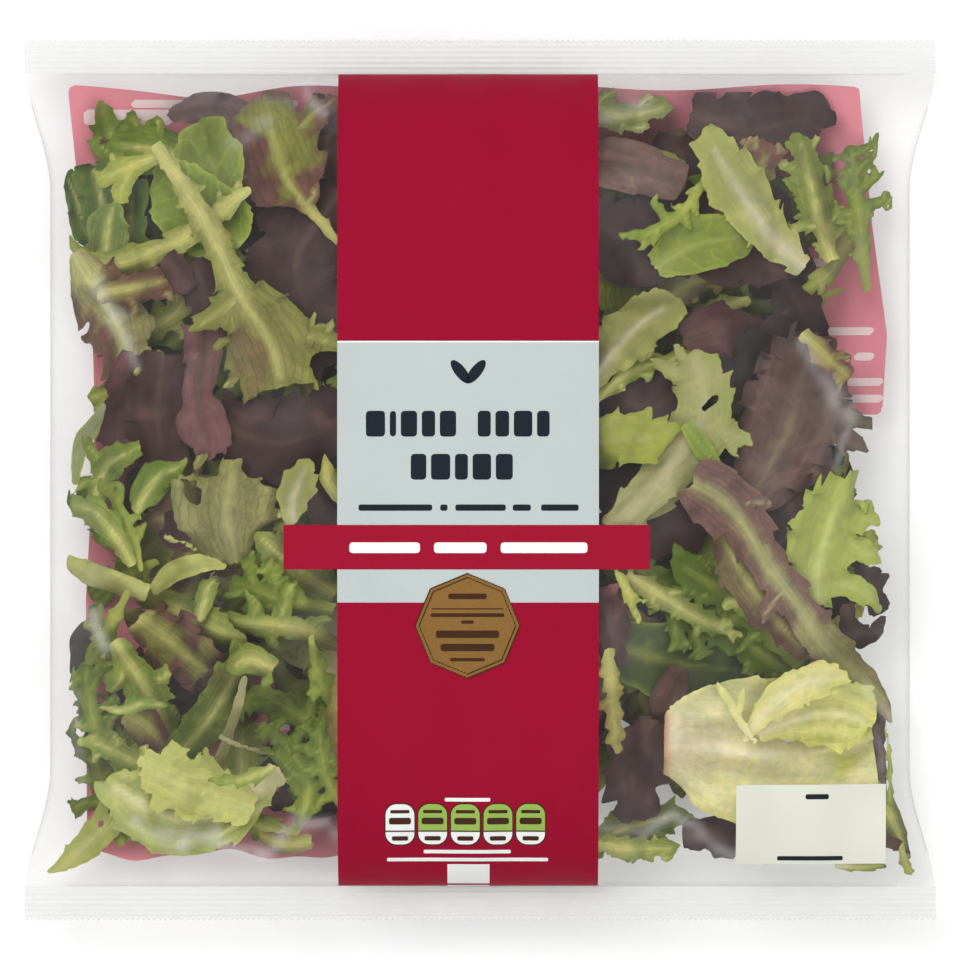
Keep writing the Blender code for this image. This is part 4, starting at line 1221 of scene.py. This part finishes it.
def fill_bag():
    """Heaps up all leaves, presses them into the bag, and joins those of one kind into one mesh."""
    heap = Heap()
    rng = np.random.default_rng(FILL_SEED)
    for n in range(HIDDEN_LEAVES):
        kind, route = scattered(rng)
        shape = shape_leaf(kind, route, HIDDEN_SEED + SEED_STEP * n, HIDDEN_SPACING, holes=GAPS)
        heap.lay(kind, shape, HIDDEN_SPACING)
    for n in range(SMALL_LEAVES):
        kind, route = small_leaf(rng)
        tone = rng.uniform(0.7, 1.0)
        seed = SMALL_SEED + SEED_STEP * n
        shape = shape_leaf(kind, route, seed, SMALL_SPACING, holes=GAPS, tone=tone)
        heap.lay(kind, shape, SMALL_SPACING)
    for n, (kind, route, changes) in enumerate(VISIBLE):
        shape = shape_leaf(kind, route, SHOWN_SEED + SHOWN_SEED_STEP * n, SHOWN_SPACING, **changes)
        heap.lay(kind, shape, SHOWN_SPACING, changes.get("lift", 0.0))
    joined = {kind: dict(points=[], tint=[], leaf=[], faces=[], count=0) for kind in LEAF_KINDS}
    for kind, x, y, low, high, rest, faces in heap.settle():
        along, across, fan, red, green, blue = rest
        group = joined[kind]
        n = len(x)
        group["points"] += [np.stack([x, y, high], 1), np.stack([x, y, low], 1)]
        group["tint"] += [np.stack([red, green, blue, np.ones(n)], 1)] * 2
        group["leaf"] += [np.stack([along, across, fan], 1)] * 2
        group["faces"].append(closed(faces, n) + group["count"])
        group["count"] += 2 * n
    for group in joined.values():
        del group["count"]
        group.update({key: np.concatenate(parts) for key, parts in group.items()})
    return joined


# The piece's name, its slot, and leaf_material's values from fan to through
LEAF_FINISH = {
    "green": ("green_lettuce_leaves", "green_leaf", (0.90, 0.55, 0.50, 0.70, 0.12, 0.42, 0.18, 0.30)),
    "frisee": ("curly_endive_leaves", "green_leaf", (0.7, 0.0, 0.35, 0.76, 0.14, 0.42, 0.18, 0.28)),
    "red": ("dark_red_leaves", "red_leaf", (0.5, 0.7, 0.30, 1.40, 0.16, 0.46, 0.20, 0.12)),
    "blush": ("red_tinged_leaves", "red_leaf", (0.9, 0.6, 0.50, 0.72, 0.13, 0.42, 0.18, 0.26)),
    "heart": ("pale_heart_leaves", "pale_leaf", (0.7, 0.3, 0.35, 0.88, 0.05, 0.38, 0.22, 0.32)),
    "smooth": ("smooth_green_leaves", "green_leaf", (0.2, 0.9, 0.35, 1.28, 0.08, 0.38, 0.24, 0.26)),
}


def make_leaves():
    for kind, group in fill_bag().items():
        name, slot, finish = LEAF_FINISH[kind]
        attributes = (("tint", "FLOAT_COLOR", group["tint"]), ("leaf", "FLOAT_VECTOR", group["leaf"]))
        piece = mesh_object(name, group["points"], group["faces"], attributes)
        finish_piece(piece, leaf_material(name, *finish), slot)


# ---------------------------------------------------------------- film and seals


def crowded(count, share=0.3):
    """Numbers from -1 to 1 that get closer together towards the ends."""
    t = np.linspace(-1, 1, count)
    return (1 - share) * t + share * np.sin(math.pi / 2 * t)


FILM_COLUMNS = 181
FILM_ROWS = 167
FILM_Y = crowded(FILM_ROWS) * INNER


def grid_faces(rows, cols, flip=False):
    """The four-sided faces of a grid, facing up, or down when flipped."""
    r, c = np.meshgrid(np.arange(rows - 1), np.arange(cols - 1), indexing="ij")
    a = (r * cols + c).ravel()
    quads = np.stack([a, a + 1, a + cols + 1, a + cols], 1)
    return quads[:, ::-1] if flip else quads


# Painted glints: white haze painted along lines of the front film where its creases would catch the light.
# Both ends, half width and haze
PAINTED_CREASE_GLINTS = [
    ((-94, -94), (-82, -99), 2.0, 0.3), ((-82, -99), (-71, -96.5), 2.4, 0.42),
    ((-74, -98.5), (-58, -103), 1.7, 0.38), ((-58, -102), (-49, -93), 1.3, 0.28),
    ((-50, -93), (-42, -94), 2.0, 0.28), ((-42, -94), (-38, -99), 1.6, 0.24),
    ((-105, 53), (-99, 43), 2.2, 0.34), ((-99, 43), (-94, 32), 1.4, 0.24),
    ((-106, -36), (-101.5, -47), 1.5, 0.34), ((-111, -60), (-109, -84), 1.4, 0.22),
    ((33, -95), (44, -96), 1.4, 0.22), ((44, -96), (52, -91), 1.8, 0.32), ((52, -91), (60, -97), 2.0, 0.34),
    ((60, -97), (72, -104.5), 1.4, 0.28), ((72, -105.4), (100, -105.6), 1.0, 0.28),
    ((-48, 108), (-43, 100), 1.4, 0.24), ((-58, 99), (-67, 91), 2.6, 0.16), ((88, 38), (94, 26), 2.2, 0.22),
    ((94, 26), (102, 16), 2.4, 0.26), ((102, 16), (97, 4), 1.2, 0.24), ((106, -56), (113, -66), 1.3, 0.26),
    ((109, -68), (110, -92), 1.0, 0.2), ((46, 104), (34, 98), 2.4, 0.22),
]


def crease_haze(x, y):
    """The painted glints' haze on the front film at x, y: white where its creases would catch the light."""
    wander_x = x + 1.1 * plane_noise(x / 5, y / 5, 61)
    wander_y = y + 1.1 * plane_noise(x / 5, y / 5, 62)
    total = np.zeros_like(x)
    for (x0, y0), (x1, y1), width, haze in PAINTED_CREASE_GLINTS:
        length = math.hypot(x1 - x0, y1 - y0)
        along = ((wander_x - x0) * (x1 - x0) + (wander_y - y0) * (y1 - y0)) / length
        aside = ((wander_x - x0) * (y1 - y0) - (wander_y - y0) * (x1 - x0)) / length
        beyond = np.maximum(0, np.maximum(-along, along - length))
        total = np.maximum(total, haze * np.exp(-((aside / width) ** 2) - (beyond / 1.5) ** 2))
    return total * (0.6 + 0.4 * plane_noise(x / 3, y / 3, 63))


def make_film():
    """One closed skin: the front and the back sheet share their points along the sides and the seals."""
    y = FILM_Y[:, None] * np.ones((1, FILM_COLUMNS))
    x = half_width(y) * crowded(FILM_COLUMNS)[None, :]
    points = np.concatenate([np.stack([x, y, h(x, y)], -1).reshape(-1, 3) for h in (front, back)])
    count = x.size
    faces = np.concatenate([grid_faces(*x.shape), grid_faces(*x.shape, flip=True) + count])
    rim = np.zeros(x.shape, bool)
    rim[0], rim[-1], rim[:, 0], rim[:, -1] = True, True, True, True
    same = np.arange(2 * count)
    shared = np.flatnonzero(rim.ravel())
    same[shared + count] = shared
    points[shared, 2] = SEAL_HEIGHT
    faces = same[faces]
    (px, py, pz), faces = compact([points[:, 0], points[:, 1], points[:, 2]], faces)
    # painted glints: white haze painted on the front film where its creases would catch the light
    glint_share = np.clip(crease_haze(px, py), 0, 1) * (pz > SEAL_HEIGHT)
    glint_share = np.stack([glint_share, glint_share, glint_share, np.ones(len(glint_share))], 1)
    piece = mesh_object("clear_film", np.stack([px, py, pz], 1), faces, [("painted_glint", "FLOAT_COLOR", glint_share)])
    piece.visible_shadow = False
    piece.visible_diffuse = False
    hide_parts("salad_bag")
    material = film_material("clear film", haze_low=0.0, haze_high=0.03, edge_haze=0.45, whiteness=0.86)
    finish_piece(piece, material, "clear_film")


SEAL_SHEET = 0.16
SEAL_RIB = 0.16
SEAL_ROWS_PER_RIB = 6
SEAL_ROWS_BESIDE = 5
TEETH_FROM = 0.86  # the share of the seal's depth from which its teeth reach out
FIN_ROWS = 330
FIN_COLUMNS = 13
FIN_RIB_PITCH = 1.4
FIN_RIB_HEIGHT = 0.07
FIN_TOP = 0.24  # of the folded strip's two faces, above its lowest place
FIN_BOTTOM = 0.08


def two_sided(name, x, y, high, low, flip=False):
    """A thin closed piece between two heights over a grid."""
    points = np.concatenate([np.stack([x, y, z], -1).reshape(-1, 3) for z in (high, low)])
    quads = grid_faces(*x.shape, flip=flip)
    faces = np.concatenate([quads[:, [0, 1, 2]], quads[:, [0, 2, 3]]])
    return mesh_object(name, points, closed(faces, x.size))


def make_seal(name, side):
    """A flat end seal: both sheets pressed together into ribs across the bag, with a zigzag edge."""
    rows = RIB_COUNT * SEAL_ROWS_PER_RIB + SEAL_ROWS_BESIDE
    columns = 2 * TEETH + 1
    share = np.linspace(0, 1, rows)[:, None] * np.ones((1, columns))
    x = np.linspace(-HALF_WIDTH, HALF_WIDTH, columns)[None, :] * np.ones((rows, 1))
    tooth = TOOTH_DEPTH * (np.arange(columns) % 2 == 0)
    reach = SEAL_DEPTH - tooth * np.maximum(0, share - TEETH_FROM) / (1 - TEETH_FROM)
    from_inner = share * reach
    ribs_end = RIB_COUNT * RIB_PITCH
    ribbed = smoothstep(0.3, 0.9, from_inner) * (1 - smoothstep(ribs_end, ribs_end + 0.4, from_inner))
    z = SEAL_HEIGHT + SEAL_RIB * ribbed * np.sin(2 * math.pi * from_inner / RIB_PITCH)
    z = z + 0.35 * np.sin(x / 31 + side) * share + 0.12 * plane_noise(x / 9, from_inner / 9, 31 + side)
    y = side * (INNER + from_inner)
    piece = two_sided(name, x, y, z + SEAL_SHEET / 2, z - SEAL_SHEET / 2, flip=side < 0)
    label = "seal film " + name
    material = film_material(label, haze_low=0.42, haze_high=0.52, edge_haze=0.3, whiteness=0.86)
    finish_piece(piece, material, "seal_film")


def make_fin():
    """The film's own join: a ribbed strip folded flat along the middle of the back."""
    y = np.linspace(-INNER, INNER, FIN_ROWS)[:, None] * np.ones((1, FIN_COLUMNS))
    x = np.linspace(-FIN_HALF_WIDTH, FIN_HALF_WIDTH, FIN_COLUMNS)[None, :] * np.ones((FIN_ROWS, 1))
    ribbed = smoothstep(0, 2, FIN_HALF_WIDTH - np.abs(x))
    rib = FIN_RIB_HEIGHT * np.sin(2 * math.pi * y / FIN_RIB_PITCH) * ribbed
    base = back(x, y) - FIN_THICKNESS
    piece = two_sided("fin_seal", x, y, base + FIN_TOP + rib, base + FIN_BOTTOM + rib)
    material = film_material("fin seal film", haze_low=0.20, haze_high=0.30, edge_haze=0.3, whiteness=0.80)
    finish_piece(piece, material, "seal_film")


# ---------------------------------------------------------------- print


def box_outline(x, y, area, corner=0.0):
    """Below 0 inside a rectangle (left, bottom, right, top) with rounded corners."""
    left, bottom, right, top = area
    dx = np.abs(x - (left + right) / 2) - (right - left) / 2 + corner
    dy = np.abs(y - (bottom + top) / 2) - (top - bottom) / 2 + corner
    outside = np.hypot(np.maximum(dx, 0), np.maximum(dy, 0))
    return outside + np.minimum(np.maximum(dx, dy), 0) - corner


def octagon(x, y, centre, radius):
    """Below 0 inside a regular octagon. radius is from its middle to its sides."""
    dx, dy = x - centre[0], y - centre[1]
    turns = math.pi / 8 + np.arange(8) * math.pi / 4
    return np.max([dx * math.cos(t) + dy * math.sin(t) for t in turns], axis=0) - radius


def ellipse(x, y, centre, radii, turn):
    """Below 0 inside a turned ellipse."""
    dx, dy = x - centre[0], y - centre[1]
    u = dx * math.cos(turn) + dy * math.sin(turn)
    v = dy * math.cos(turn) - dx * math.sin(turn)
    return (np.hypot(u / radii[0], v / radii[1]) - 1) * min(radii)


def rounded(area, corner):
    """A rounded rectangle's outline as print_sheet takes it: a function of x and y."""
    return lambda x, y: box_outline(x, y, area, corner)


PRINT_SKIN = 0.03
PRINT_LIFT = 0.09  # of the lowest layer above the film
PRINT_STEP = 0.06  # each layer of print lies this much above the one below
LONG_FIELD = 30  # fields longer than this take their rows from the film, so that they follow it


def print_sheet(area, outline, layer, spacing=1.2, surface=front, over=1):
    """Triangles of one printed field: the outline's inside, laid along the film."""
    left, bottom, right, top = area
    xs = np.linspace(left, right, max(3, int((right - left) / spacing) + 2))
    rows = FILM_Y[(FILM_Y > bottom + 0.3) & (FILM_Y < top - 0.3)]
    if top - bottom < LONG_FIELD or spacing < 1:
        rows = np.linspace(bottom, top, max(3, int((top - bottom) / spacing) + 2))[1:-1]
    ys = np.concatenate([[bottom], rows, [top]])
    x, y = np.meshgrid(xs, ys)
    f = outline(x, y) if outline else -np.ones(x.shape)
    (px, py), faces = cut_grid(f, [x, y])
    if not len(faces):
        raise ValueError("an outline left nothing inside its area")
    z = surface(px, py) + over * (PRINT_LIFT + PRINT_STEP * layer)
    high = np.stack([px, py, z + PRINT_SKIN], 1)
    low = np.stack([px, py, z], 1)
    return np.concatenate([high, low]), closed(faces, len(px))


def print_piece(name, sheets, material, slot):
    """Joins printed fields of one ink into one piece."""
    points, faces, count = [], [], 0
    for sheet_points, sheet_faces in sheets:
        points.append(sheet_points)
        faces.append(sheet_faces + count)
        count += len(sheet_points)
    piece = mesh_object(name, np.concatenate(points), np.concatenate(faces))
    finish_piece(piece, material, slot)


def bar(left, right, middle, height, layer, spacing=0.7):
    """A rounded bar, which stands where the pack has a word or a line of small print."""
    area = (left, middle - height / 2, right, middle + height / 2)
    corner = min(0.32 * height, 0.9)
    pad = tuple(np.add(area, (-0.05, -0.05, 0.05, 0.05)))
    return print_sheet(pad, rounded(area, corner), layer, min(spacing, height / 4))


def shape_print(centre, radius, outline, layer, spacing=0.6):
    """One printed field within a square about a centre."""
    x, y = centre
    return print_sheet((x - radius, y - radius, x + radius, y + radius), outline, layer, spacing)


# The front's print. Areas are (left, bottom, right, top)
BAND = (-38.8, -111.2, 32.3, 111.2)
PANEL = (-38.8, -33.3, 32.3, 37.7)
STRIP = (-53.4, -24.3, 46.2, -12.2)
NOTCH = (-8.9, -111.2, 2.6, -104.9)
USE_BY = (69.8, -105.0, 111.0, -83.1)
BADGE = (-3.4, -39.6)
BADGE_RADIUS = 13.2
LOZENGES = 5
LOZENGE_PITCH = 8.9
LOZENGE_FIRST = -21.8
LOZENGE_MIDDLE = -93.8
LOZENGE_SIZE = (8.5, 11.8)
LOZENGE_CORNER = 3.3
LOZENGE_RIM = 0.35
LETTER_GAP = 1.3  # between the title's blocks
TITLE = [  # left, middle and the blocks' widths of each word
    (-31.0, 15.3, (5.2, 1.7, 4.4, 3.6, 4.4)),
    (-0.6, 15.3, (3.5, 3.7, 5.0, 3.4)),
    (-18.8, 3.6, (4.2, 5.2, 3.5, 5.0, 4.6)),
]
# Rows of words as bars, from left to right
PANEL_WORDS = ((-33.0, -13.0), (-10.8, -8.8), (-6.7, 7.0), (8.9, 13.8), (16.6, 26.8))
STRIP_WORDS = ((-35.5, -16.3), (-12.5, 1.8), (5.6, 29.2))
BADGE_WORDS = [  # width, middle and height
    (10.4, 8.0, 1.5), (19.5, 4.6, 0.3), (20.0, 2.9, 1.0), (3.4, 1.0, 0.9),
    (17.2, -2.3, 2.0), (14.6, -5.9, 2.0), (9.4, -9.2, 0.9),
]


def make_front_print():
    red = ink_material("red ink", colour(150, 16, 46))
    deep_red = ink_material("deep red ink", colour(155, 22, 48))
    pale = ink_material("pale ink", colour(187, 196, 195), 0.02)
    dark = ink_material("dark ink", colour(34, 38, 46), 0.08)
    white = ink_material("white ink", colour(240, 240, 238), 0.02)
    gold = ink_material("gold ink", colour(134, 100, 54), 0.08)
    brown = ink_material("brown ink", colour(66, 44, 30), 0.06)
    green = ink_material("green ink", colour(152, 182, 88), 0.04)
    patch = ink_material("pale patch ink", colour(226, 227, 212), 0.03, 0.5, 0.04)

    print_piece("front_band", [print_sheet(BAND, None, 0)], red, "red_print")
    print_piece("front_panel", [print_sheet(PANEL, None, 1)], pale, "pale_print")
    print_piece("cross_strip", [print_sheet(STRIP, None, 2)], deep_red, "red_print")
    line = (PANEL[0], PANEL[3] - 0.35, PANEL[2], PANEL[3] + 0.1)
    whites = [print_sheet(NOTCH, None, 1, 0.9), print_sheet(line, None, 2)]

    title = []
    for left, middle, widths in TITLE:
        for width in widths:
            title.append(bar(left, left + width, middle, 7.0, 2))
            left += width + LETTER_GAP
    for left, right in PANEL_WORDS:
        title.append(bar(left, right, -7.5, 1.7, 2, 0.45))
    for turn, shift in ((0.9, 2.1), (math.pi - 0.9, -2.1)):
        centre = (-3.2 + shift, 29.4)
        petal = lambda x, y, c=centre, t=turn: ellipse(x, y, c, (3.9, 1.5), t)
        title.append(shape_print(centre, 4.2, petal, 2, 0.35))
    print_piece("panel_marks", title, dark, "detail_print")

    for left, right in STRIP_WORDS:
        whites.append(bar(left, right, -18.4, 2.9, 3, 0.5))
    whites.append(bar(-9.6, 2.8, -87.0, 1.0, 1, 0.3))
    whites.append(bar(-15.4, 8.4, -101.4, 1.0, 1, 0.3))
    whites.append(bar(-25.4, 18.6, -103.6, 1.0, 1, 0.3))

    plates, tops, marks = [], [], []
    wide, tall = LOZENGE_SIZE
    for n in range(LOZENGES):
        x = LOZENGE_FIRST + n * LOZENGE_PITCH
        outer = (x - wide / 2, LOZENGE_MIDDLE - tall / 2, x + wide / 2, LOZENGE_MIDDLE + tall / 2)
        inner = tuple(np.add(outer, (LOZENGE_RIM, LOZENGE_RIM, -LOZENGE_RIM, -LOZENGE_RIM)))
        plate = rounded(inner, 3.0)
        plates.append(print_sheet(outer, rounded(outer, LOZENGE_CORNER), 1, 0.5))
        whites.append(print_sheet(inner, plate, 2, 0.5))
        split = LOZENGE_MIDDLE - 1.9
        head = (inner[0], split, inner[2], inner[3])
        if n:
            top = lambda px, py, plate=plate, split=split: np.maximum(plate(px, py), split - py)
            tops.append(print_sheet(head, top, 3, 0.5))
        marks.append(bar(x - 2.6, x + 2.6, LOZENGE_MIDDLE + 3.5, 0.9, 4, 0.3))
        marks.append(bar(x - 3.0, x + 3.0, LOZENGE_MIDDLE + 0.9, 1.8, 4, 0.4))
        marks.append(bar(x - 2.2, x + 2.2, LOZENGE_MIDDLE - 3.9, 1.2, 4, 0.35))
        plates.append(bar(inner[0], inner[2], split, 0.35, 4, 0.5))
    print_piece("lozenge_plates", plates, brown, "detail_print")
    print_piece("lozenge_tops", tops, green, "detail_print")
    print_piece("white_marks", whites, white, "pale_print")

    def badge(radius, hollow=None):
        """The badge's outline, or the thin line between two radii."""
        def outline(x, y):
            f = octagon(x, y, BADGE, radius)
            return f if hollow is None else np.maximum(f, hollow - f - radius)
        return outline

    badge_area = BADGE_RADIUS * 1.1
    print_piece("badge", [shape_print(BADGE, badge_area, badge(BADGE_RADIUS), 3)], gold, "detail_print")
    marks.append(shape_print(BADGE, badge_area, badge(12.3, 11.95), 4, 0.35))
    marks.append(shape_print(BADGE, badge_area, badge(BADGE_RADIUS + 0.1, BADGE_RADIUS - 0.25), 4, 0.35))
    for wide, middle, height in BADGE_WORDS:
        marks.append(bar(BADGE[0] - wide / 2, BADGE[0] + wide / 2, BADGE[1] + middle, height, 4, 0.35))
    print_piece("dark_marks", marks, brown, "detail_print")

    print_piece("date_patch", [print_sheet(USE_BY, None, 0)], patch, "pale_print")
    dates = [bar(88.8, 95.2, -86.4, 1.4, 1, 0.35), bar(81.2, 99.2, -103.4, 1.2, 1, 0.3)]
    print_piece("date_marks", dates, dark, "detail_print")


# The back's print. The edges are (y, x), and a row of words is (left, middle, widths)
LEFT_EDGE = [
    (-105, -108.0), (-60, -108.5), (-33, -108.5), (16, -106.0), (49, -107.0), (85, -111.0), (110, -113.5),
]
RIGHT_EDGE = [(15, 110.5), (40, 112.0), (70, 108.0), (110, 104.0)]
BACK_FIELD = (-116.0, -107.0, 114.0, 110.0)
BACK_WINDOW = (14.0, -140.0, 140.0, 18.0)


def back_outline(x, y):
    """The field printed on the back: all of it but the lower right, where the bag is left clear."""
    left = np.interp(y, *zip(*LEFT_EDGE))
    right = np.interp(y, *zip(*RIGHT_EDGE))
    top = 108.0 - 2.6 * np.exp(-(((x + 72) / 16) ** 2)) + 0.8 * np.sin(x / 11)
    low = -103.2 + 1.1 * np.sin(x / 6.5) + 0.6 * np.sin(x / 2.9)
    field = np.max([left - x, x - right, y - top, low - y], axis=0)
    return np.maximum(field, -box_outline(x, y, BACK_WINDOW, 12.0))


BACK_WORDS = [
    (-96, 103.5, (20, 8, 12)), (-109, 99.8, (24.4,)), (-92, 60, (18, 26, 14)), (-92, 52, (30, 20)),
    (-92, 44, (24, 28)), (-92, 20, (40, 12)), (-92, 12, (22, 26)), (-92, -20, (34, 18)),
    (-92, -28, (20, 24)), (-92, -60, (30, 14)), (-92, -68, (18, 30)), (20, 60, (26, 20, 24)),
    (20, 48, (30, 34)), (93.5, 41, (15.0,)), (103.0, 34, (5.6,)), (101.0, 27, (10.0,)),
    (101.0, 22.4, (10.0,)), (46, 34, (20, 18, 10)), (40, 26, (30, 22)),
]
BACK_WORDS_END = 111
WORD_GAP = 3
WORD_HEIGHT = 2.2
HEADING_WIDTH = 24.4
HEADING_HEIGHT = 4.2


def make_back_print():
    """The field on the back is red from outside, and pink from inside, through the film's white."""
    outer = ink_material("back red ink", colour(160, 18, 48))
    inner = ink_material("back pink ink", colour(226, 138, 150), 0.04)
    words = ink_material("back pale ink", colour(240, 214, 214), 0.03, 0.5)
    rows = []
    for x, y, widths in BACK_WORDS:
        for width in widths:
            height = HEADING_HEIGHT if width == HEADING_WIDTH else WORD_HEIGHT
            rows.append((x, y - height / 2, min(x + width, BACK_WORDS_END), y + height / 2))
            x += width + WORD_GAP
    for name, over, ink in (("back_field_outside", -1, outer), ("back_field_inside", 1, inner)):
        sheet = print_sheet(BACK_FIELD, back_outline, 0, 2.4, back, over)
        print_piece(name, [sheet], ink, "red_print")
    sheets = []
    for over in (-1, 1):
        for area in rows:
            sheets.append(print_sheet(area, rounded(area, 0.8), 1, 1.2, back, over))
    print_piece("back_marks", sheets, words, "pale_print")


# ---------------------------------------------------------------- stage


def backdrop_material(name, level, glow):
    """Pale floor that takes the bag's shadow, and glows a little so that the camera sees it white."""
    g = Graph(name)
    place = g.add("TexCoord", output=3)
    grain = g.ramp(g.noise(place, 260.0, 3.0), 0.2, 0.8, level - 0.01, level + 0.01)
    base = g.add("CombineColor", Red=grain, Green=grain, Blue=grain)
    plain = g.principled(Base_Color=base, Roughness=0.9, Specular_IOR_Level=0.1)
    light = g.nodes.new("ShaderNodeLightPath")
    seen = g.math("MAXIMUM", light.outputs["Is Camera Ray"], light.outputs["Is Glossy Ray"])
    seen = g.math("MAXIMUM", seen, light.outputs["Is Transmission Ray"])
    shine = g.add("Emission", Color=(1, 1, 1, 1), Strength=g.math("MULTIPLY", seen, glow))
    both = g.add("AddShader")
    g.feed(both.node.inputs[0], plain)
    g.feed(both.node.inputs[1], shine)
    return g.end(both)


WORLD_LEVEL = 0.50
FLOOR_SIZE = 6.0  # metres
FLOOR_GAP = 0.0002
LAMPS = [  # name, place, size and power
    ("key", (-0.42, 0.52, 1.25), 0.9, 11.0),
    ("fill", (0.62, -0.50, 1.15), 1.2, 6.0),
]


def make_stage():
    """The floor, and a white surrounding that lights less than it shows."""
    bpy.ops.mesh.primitive_plane_add(size=FLOOR_SIZE, location=(0, 0, LOW.z - FLOOR_GAP))
    floor = bpy.context.object
    floor.name = "floor"
    floor.data.materials.append(backdrop_material("pale floor", 0.78, 0.28))

    world = bpy.data.worlds.new("studio")
    bpy.context.scene.world = world
    world.use_nodes = True
    nodes, links = world.node_tree.nodes, world.node_tree.links
    background = nodes["Background"]
    background.inputs["Color"].default_value = (1.0, 1.0, 1.0, 1.0)
    light = nodes.new("ShaderNodeLightPath")
    seen = nodes.new("ShaderNodeMath")
    seen.operation = "MAXIMUM"
    links.new(light.outputs["Is Camera Ray"], seen.inputs[0])
    links.new(light.outputs["Is Glossy Ray"], seen.inputs[1])
    level = nodes.new("ShaderNodeMapRange")
    level.inputs["To Min"].default_value = WORLD_LEVEL
    level.inputs["To Max"].default_value = 1.0
    links.new(seen.outputs[0], level.inputs["Value"])
    links.new(level.outputs["Result"], background.inputs["Strength"])


def make_lamps():
    """Square lamps, each turned to the bag."""
    for name, place, size, power in LAMPS:
        lamp = bpy.data.lights.new(name, "AREA")
        lamp.shape = "SQUARE"
        lamp.size = size
        lamp.energy = power
        holder = bpy.data.objects.new(name, lamp)
        bpy.context.scene.collection.objects.link(holder)
        holder.location = place
        holder.visible_glossy = False
        direction = holder.location * -1
        holder.rotation_euler = direction.to_track_quat("-Z", "Y").to_euler()


LENS = 400.0
SENSOR = 36.0
VIEW_WIDTH = 263.4 * MM  # how much of the seals' plane the picture is wide


def make_camera():
    """A camera far above the bag's middle, with a long lens."""
    camera = bpy.data.cameras.new("camera")
    camera.lens = LENS
    camera.sensor_width = SENSOR
    camera.clip_end = 20.0
    holder = bpy.data.objects.new("camera", camera)
    bpy.context.scene.collection.objects.link(holder)
    distance = VIEW_WIDTH * LENS / SENSOR
    holder.location = (CENTRE[0] * MM, CENTRE[1] * MM, LOW.z + SEAL_HEIGHT * MM + distance)
    bpy.context.scene.camera = holder


make_camera()
make_film()
make_seal("top_seal", 1)
make_seal("bottom_seal", -1)
make_fin()
make_leaves()
make_front_print()
make_back_print()
make_stage()
make_lamps()
bpy.context.scene.view_settings.view_transform = "Standard"
